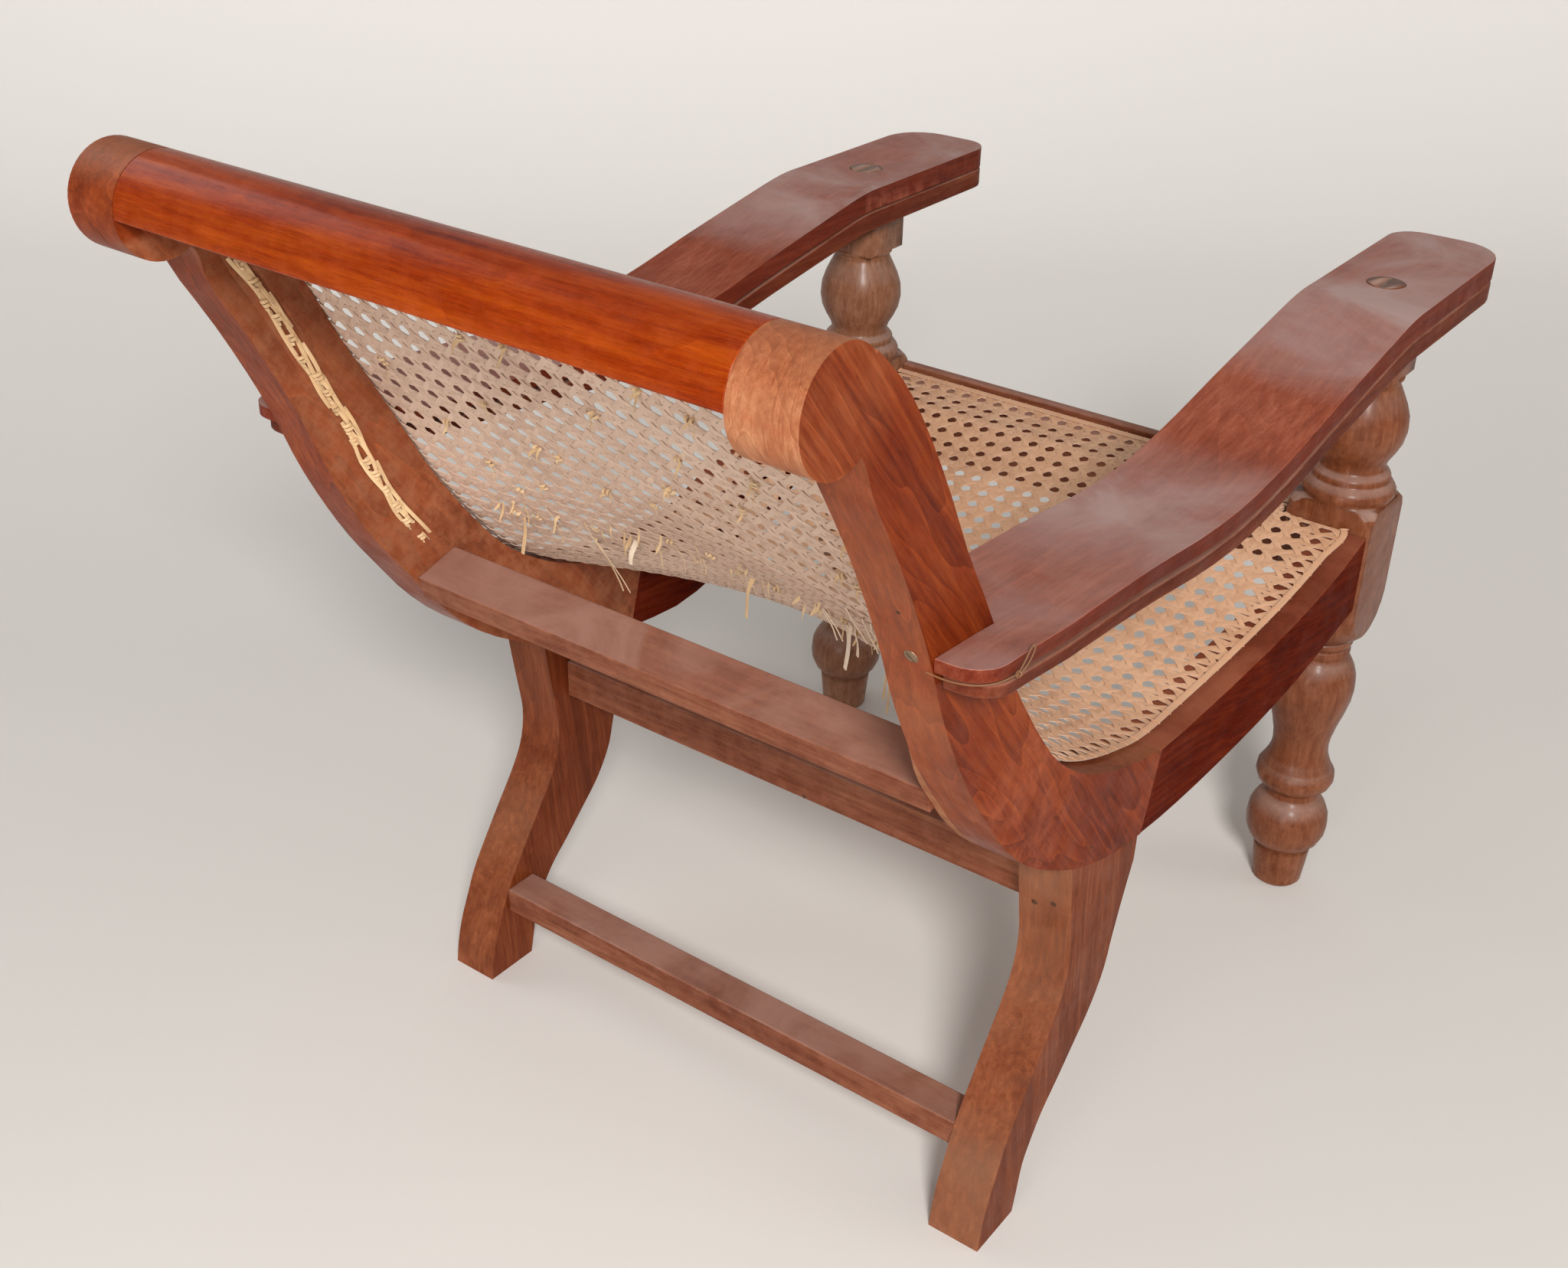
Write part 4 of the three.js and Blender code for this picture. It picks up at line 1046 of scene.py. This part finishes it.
def placed_ends(table):
    """Strips of even width that hang from their places."""
    paths = Paths()
    for row in table:
        loose_end(paths, *row, taper=False)
    return paths


cane_piece(rear_ends(), "cane_loose_ends", 0.0036, 0.0009, FRESH_CANE)
cane_piece(placed_ends(LONG_ENDS), "cane_long_ends", 0.0045, 0.001, FRESH_CANE)
cane_piece(placed_ends(TORN_ENDS), "cane_torn_ends", 0.0056, 0.0012, [TORN_WHITE, TORN_WHITE])

# Strands tied along the stiles' ledges
FRONT_LINE, BACK_LINE = catmull(STILE_ROWS[1:, :2]), catmull(STILE_ROWS[1:, 2:])
LEDGE_RUN = arc(FRONT_LINE)
LEDGE_FRONT_X = 0.265            # the ledge's front edge from the chair's middle
LEDGE_DEPTH = 0.010              # how much farther out its rear edge is
LEDGE_SHARES = (0.42, 0.68)      # its edges, as shares from the stile's front to its back
LEDGE_FOOT_Z = 0.528             # the strands end at this height
# Lanes across the ledge: share from front to back, and how far a strand sways
LANES = ((0.5, 0.016), (0.545, 0.028), (0.6, 0.02))
LANE_POINTS = 12
BUNCH_STEP = 0.042               # from one bunch of strands to the next
TIE_TURNS = 2.2


def on_ledge(side, run, share=0.55, lift=0.001):
    """A place on the slanted ledge inside a stile, by its distance from the top."""
    front = np.array([np.interp(run, LEDGE_RUN, FRONT_LINE[:, c]) for c in (0, 1)])
    back = np.array([np.interp(run, LEDGE_RUN, BACK_LINE[:, c]) for c in (0, 1)])
    y, z = front + (back - front) * share
    x = LEDGE_FRONT_X + LEDGE_DEPTH * (share - LEDGE_SHARES[0]) / (LEDGE_SHARES[1] - LEDGE_SHARES[0])
    return np.array([side * (x - lift), y + lift * 0.3, z])


def lay_bunches(paths, side, inward, last):
    """Bunches of long strands laid side by side down the ledge."""
    start = 0.045
    while start < last - 0.03:
        for lane, drift in LANES:
            reach = RNG.uniform(0.035, 0.08)
            first = start + RNG.uniform(-0.02, 0.02)
            runs = np.linspace(max(first, 0.035), min(first + reach, last), LANE_POINTS)
            sway = np.sin(runs * RNG.uniform(45, 80) + lane * 9) * drift
            rise = 0.0011 + np.abs(np.sin(np.linspace(0, np.pi, LANE_POINTS))) * RNG.uniform(0.0004, 0.0028)
            line = np.array([on_ledge(side, r, lane + w, h) for r, w, h in zip(runs, sway, rise)])
            paths.add(line, np.tile(inward, (LANE_POINTS, 1)), 1.0)
        start += BUNCH_STEP


def tie_holes(paths, side, inward, last):
    """A wound tie at every second hole, with one end standing off."""
    for hole in np.arange(0.05, last, PITCH):
        centre = on_ledge(side, hole + RNG.uniform(-0.003, 0.003), RNG.uniform(0.53, 0.59), 0.003)
        turn = RNG.uniform(0.0026, 0.0042)
        down = on_ledge(side, hole + 0.01) - on_ledge(side, hole)
        down /= np.linalg.norm(down)
        over = np.cross(down, inward / np.linalg.norm(inward))
        curl, outward = coil(centre - 0.0045 * down, TIE_TURNS, 22, over, inward, (turn, turn * 0.6),
                             down * 0.009 / 14)
        paths.add(curl, outward, 0.9)
        tip = centre + over * RNG.choice((-1, 1)) * 0.003
        out = [tip + (inward * 0.5 + down * RNG.uniform(-1, 1)) * t for t in np.linspace(0, 0.009, 5)]
        paths.add(np.array(out), np.tile(over, (5, 1)), 0.7)


def ledge_strands(side):
    """All the cane on one ledge."""
    paths = Paths()
    last = float(np.interp(-LEDGE_FOOT_Z, -FRONT_LINE[:, 1], LEDGE_RUN))
    inward = np.array([-side, 0.35, 0])
    lay_bunches(paths, side, inward, last)
    tie_holes(paths, side, inward, last)
    return paths


for side, sign in (("right", -1), ("left", 1)):
    cane_piece(ledge_strands(sign), f"ledge_strands_{side}", 0.0036, 0.0011, FRESH_CANE)

# A strand caught between the right arm and its leg rest
TAN = cane_material("cane_tan", (0.4, 0.21, 0.11), (0.27, 0.125, 0.055), (0.14, 0.055, 0.022), 0.6, 0.1, 31)
CAUGHT_LINE = [(-0.3105, 0.4178, 0.6475), (-0.326, 0.4182, 0.6474), (-0.341, 0.4135, 0.6472),
               (-0.3515, 0.402, 0.6468), (-0.3553, 0.388, 0.6462), (-0.3562, 0.3795, 0.6458)]
CAUGHT_LOOP = [(-0.3562, 0.3795, 0.6458), (-0.3570, 0.3740, 0.6520), (-0.3566, 0.3675, 0.6575),
               (-0.3564, 0.3625, 0.6590), (-0.3568, 0.3610, 0.6560), (-0.3572, 0.3660, 0.6510),
               (-0.3572, 0.3720, 0.6475), (-0.3568, 0.3775, 0.6450)]
CAUGHT_KNOT = (-0.3570, 0.3785, 0.6460)


def caught_strand():
    """The strand in the slot between the boards, its loop beside them and the turns that bind it."""
    paths = Paths()
    line, loop = catmull(CAUGHT_LINE, per=6), catmull(CAUGHT_LOOP, per=6)
    paths.add(line, np.tile((-0.2, 0.2, 1), (len(line), 1)), 0.8)
    paths.add(loop, np.tile((-1, 0, 0.2), (len(loop), 1)), 1.0)
    turns, outward = coil(np.array(CAUGHT_KNOT), 1.75, 18, (0, 0, 1), (1, 0, 0), (0.0022, 0.0018),
                          (0, 0.0003, 0))
    paths.add(turns, outward, 0.9)
    return paths


cane_piece(caught_strand(), "caught_strand", 0.0016, 0.0007, [TAN, TAN])

# Screw, plug and filled marks, each at its place in the photograph: pixels across and down
SCREW_PLACE = (1190, 857)
PLUG_PLACE = (1173, 800)
# Piece, place and radius
MARKS = [("rear_leg_right", (1351, 1178), 0.0028), ("rear_leg_right", (1376, 1181), 0.0028),
         ("stile_right", (1471, 1085), 0.0016), ("stile_right", (1425, 1107), 0.0014),
         ("rear_seat_rail", (1050, 1040), 0.0022)]
SCREW_RADIUS, SCREW_RISE = 0.0054, 0.0014
PLUG_RADIUS = 0.0018
FLUSH = 0.0002                   # how far a plug or a filled mark stands off
HEAD_SEAT = 0.0006               # how deep a head sits in the wood
SLOT_HALF = 0.15                 # half the driver slot's width, as a share of the radius
SLOT_TURN = 0.6
SCREW = metal("old_screw", (0.42, 0.29, 0.19), 0.42)
FILLER = wood("nail_filler", (0.05, 0.02, 0.01), (0.08, 0.035, 0.018), (0.12, 0.06, 0.03), ALONG_Z,
              seed=11, dust=0.0, gloss=0.7)


def seen_at(node, place):
    """Where the line of sight through a place in the photograph meets a piece, and the surface's normal."""
    right, down = place[0] - PHOTO_WIDTH / 2, place[1] - PHOTO_HEIGHT / 2
    way = FORWARD + (ACROSS * right - ACROSS.cross(FORWARD) * down) / FOCAL_PIXELS
    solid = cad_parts[node].data
    tree = BVHTree.FromPolygons([v.co for v in solid.vertices], [p.vertices for p in solid.polygons])
    return tree.ray_cast(EYE, way.normalized())[:2]


def head_columns(groove):
    """Where a head's columns of points stand across it, with the slot's edges among them."""
    if not groove:
        return np.cos(np.linspace(np.pi, 0, 15))
    side = np.linspace(groove + 0.02, 1, 7)
    return np.concatenate([-side[::-1], [-groove, groove], side])


def head_faces(bm, rows, low):
    """The dome, the sides and the underside between columns of points."""
    for a, b, c, d in zip(rows, rows[1:], low, low[1:]):
        for k in range(len(a) - 1):
            bm.faces.new((a[k], a[k + 1], b[k + 1], b[k]))
        bm.faces.new((a[0], b[0], d[0], c[0]))
        bm.faces.new((b[-1], a[-1], c[1], d[1]))
        bm.faces.new((c[0], d[0], d[1], c[1]))
    bmesh.ops.remove_doubles(bm, verts=bm.verts, dist=0.00001)
    bmesh.ops.dissolve_degenerate(bm, edges=bm.edges, dist=0.00001)
    bmesh.ops.holes_fill(bm, edges=[e for e in bm.edges if e.is_boundary])
    bmesh.ops.recalc_face_normals(bm, faces=bm.faces)


def button(name, seen, radius, rise, material, groove=0.0):
    """A low round head, domed, with or without a driver slot, seated in the surface where it was seen."""
    place, normal = seen
    turn = normal.to_track_quat("Z", "Y").to_matrix() @ Matrix.Rotation(SLOT_TURN, 3, "Z")
    bm = bmesh.new()

    def point(x, y, height):
        return bm.verts.new(place + turn @ Vector((x * radius, y * radius, height)))

    rows, low = [], []
    for x in head_columns(groove):
        chord = math.sqrt(max(0, 1 - x * x))
        row = []
        for y in chord * np.linspace(-1, 1, 11):
            dome = 0.1 if groove and abs(x) <= groove else math.sqrt(max(0, 1 - (x * x + y * y)))
            row.append(point(x, y, rise * dome))
        rows.append(row)
    for x in head_columns(groove):
        chord = math.sqrt(max(0, 1 - x * x))
        low.append([point(x, t * chord, -HEAD_SEAT) for t in (-1, 1)])
    head_faces(bm, rows, low)
    mesh = bpy.data.meshes.new(name)
    bm.to_mesh(mesh)
    bm.free()
    mesh.materials.append(material)
    for poly in mesh.polygons:
        poly.use_smooth = True
    mesh.set_sharp_from_angle(angle=HEAD_CREASE)
    piece = bpy.data.objects.new(name, mesh)
    bpy.context.scene.collection.objects.link(piece)
    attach(piece, "chair")


button("stile_screw", seen_at("stile_right", SCREW_PLACE), SCREW_RADIUS, SCREW_RISE, SCREW, groove=SLOT_HALF)
button("stile_plug", seen_at("stile_right", PLUG_PLACE), PLUG_RADIUS, FLUSH, FILLER)
for number, (node, place, size) in enumerate(MARKS):
    button(f"nail_{number}", seen_at(node, place), size, FLUSH, FILLER)

# Studio
FLOOR_COLOUR = (0.74, 0.71, 0.675)
FLOOR_FRONT, FLOOR_BACK = 14, -2.2
FLOOR_HALF = 12
COVE_RADIUS = 1.2
COVE_TOP = 7
COVE_STEPS = 12
SKY = (0.97, 0.96, 0.95, 1)
SKY_STRENGTH = 0.24
LAMP_AIM = (0, 0, 0.5)
# Name, place, diameter, watts and colour
LAMPS = [("key", (-2.3, 2.67, 2.75), 0.9, 155, (1, 0.985, 0.965)),
         ("low", (-0.6, 3.6, 1.0), 1.4, 30, (1, 0.985, 0.965)),
         ("side", (-3.2, -1.6, 2.2), 1.8, 18, (1, 0.98, 0.95)),
         ("far", (2.8, 0.6, 2.6), 1.8, 18, (0.98, 0.985, 1))]


def cove_material(name, colour):
    """Plain matt floor, whose rise behind the chair is pale to the camera, the lamps aside."""
    g = Graph(name)
    g.shader.inputs["Base Color"].default_value = (*colour, 1)
    g.shader.inputs["Roughness"].default_value = 0.9
    g.shader.inputs["Specular IOR Level"].default_value = 0.1
    g.shader.inputs["Emission Color"].default_value = (*colour, 1)
    coords = g.add("ShaderNodeTexCoord")
    away = g.add("ShaderNodeVectorMath", operation="DOT_PRODUCT")
    g.wire(coords, "Object", away, 0)
    away.inputs[1].default_value = (FORWARD.x, FORWARD.y, 0)
    behind = g.ramp(g.math("MULTIPLY", (away, "Value"), 0.25), 0, [(0.12, 0.0), (0.8, 0.52)])
    ray = g.add("ShaderNodeLightPath")
    seen = g.math("MULTIPLY", (ray, "Is Camera Ray"), (behind, "Color"))
    g.wire(seen, 0, g.shader, "Emission Strength")
    return g.material


def cove():
    """Floor that rises behind the chair, square to the camera's heading."""
    bpy.ops.mesh.primitive_plane_add(size=1)
    floor = bpy.context.object
    floor.name = "floor"
    profile = [(FLOOR_FRONT, 0), (FLOOR_BACK, 0)]
    for i in range(1, COVE_STEPS + 1):
        a = i / COVE_STEPS * math.pi / 2
        profile.append((FLOOR_BACK - COVE_RADIUS * math.sin(a), COVE_RADIUS * (1 - math.cos(a))))
    profile.append((FLOOR_BACK - COVE_RADIUS, COVE_TOP))
    turn = Matrix.Rotation(math.atan2(FORWARD.x, -FORWARD.y), 3, "Z")
    bm = bmesh.new()
    rings = [[bm.verts.new(turn @ Vector((x, y, z))) for x in (-FLOOR_HALF, FLOOR_HALF)] for y, z in profile]
    for a, b in zip(rings, rings[1:]):
        bm.faces.new((a[0], a[1], b[1], b[0]))
    bmesh.ops.recalc_face_normals(bm, faces=bm.faces)
    bm.to_mesh(floor.data)
    bm.free()
    for poly in floor.data.polygons:
        poly.use_smooth = True
    floor.data.materials.clear()
    floor.data.materials.append(cove_material("studio_floor", FLOOR_COLOUR))


def lamp(name, place, size, power, colour):
    """A round lamp that looks at the middle of the chair."""
    data = bpy.data.lights.new(name, "AREA")
    data.shape = "DISK"
    data.size = size
    data.energy = power
    data.color = colour
    lamp_object = bpy.data.objects.new(name, data)
    lamp_object.location = place
    way = Vector(LAMP_AIM) - Vector(place)
    lamp_object.rotation_euler = way.to_track_quat("-Z", "Y").to_euler()
    bpy.context.scene.collection.objects.link(lamp_object)


def sky_light():
    """A pale even world."""
    world = bpy.data.worlds.new("studio")
    world.use_nodes = True
    sky = world.node_tree.nodes["Background"]
    sky.inputs["Color"].default_value = SKY
    sky.inputs["Strength"].default_value = SKY_STRENGTH
    bpy.context.scene.world = world


cove()
for row in LAMPS:
    lamp(*row)
sky_light()
bpy.context.scene.view_settings.view_transform = "Standard"
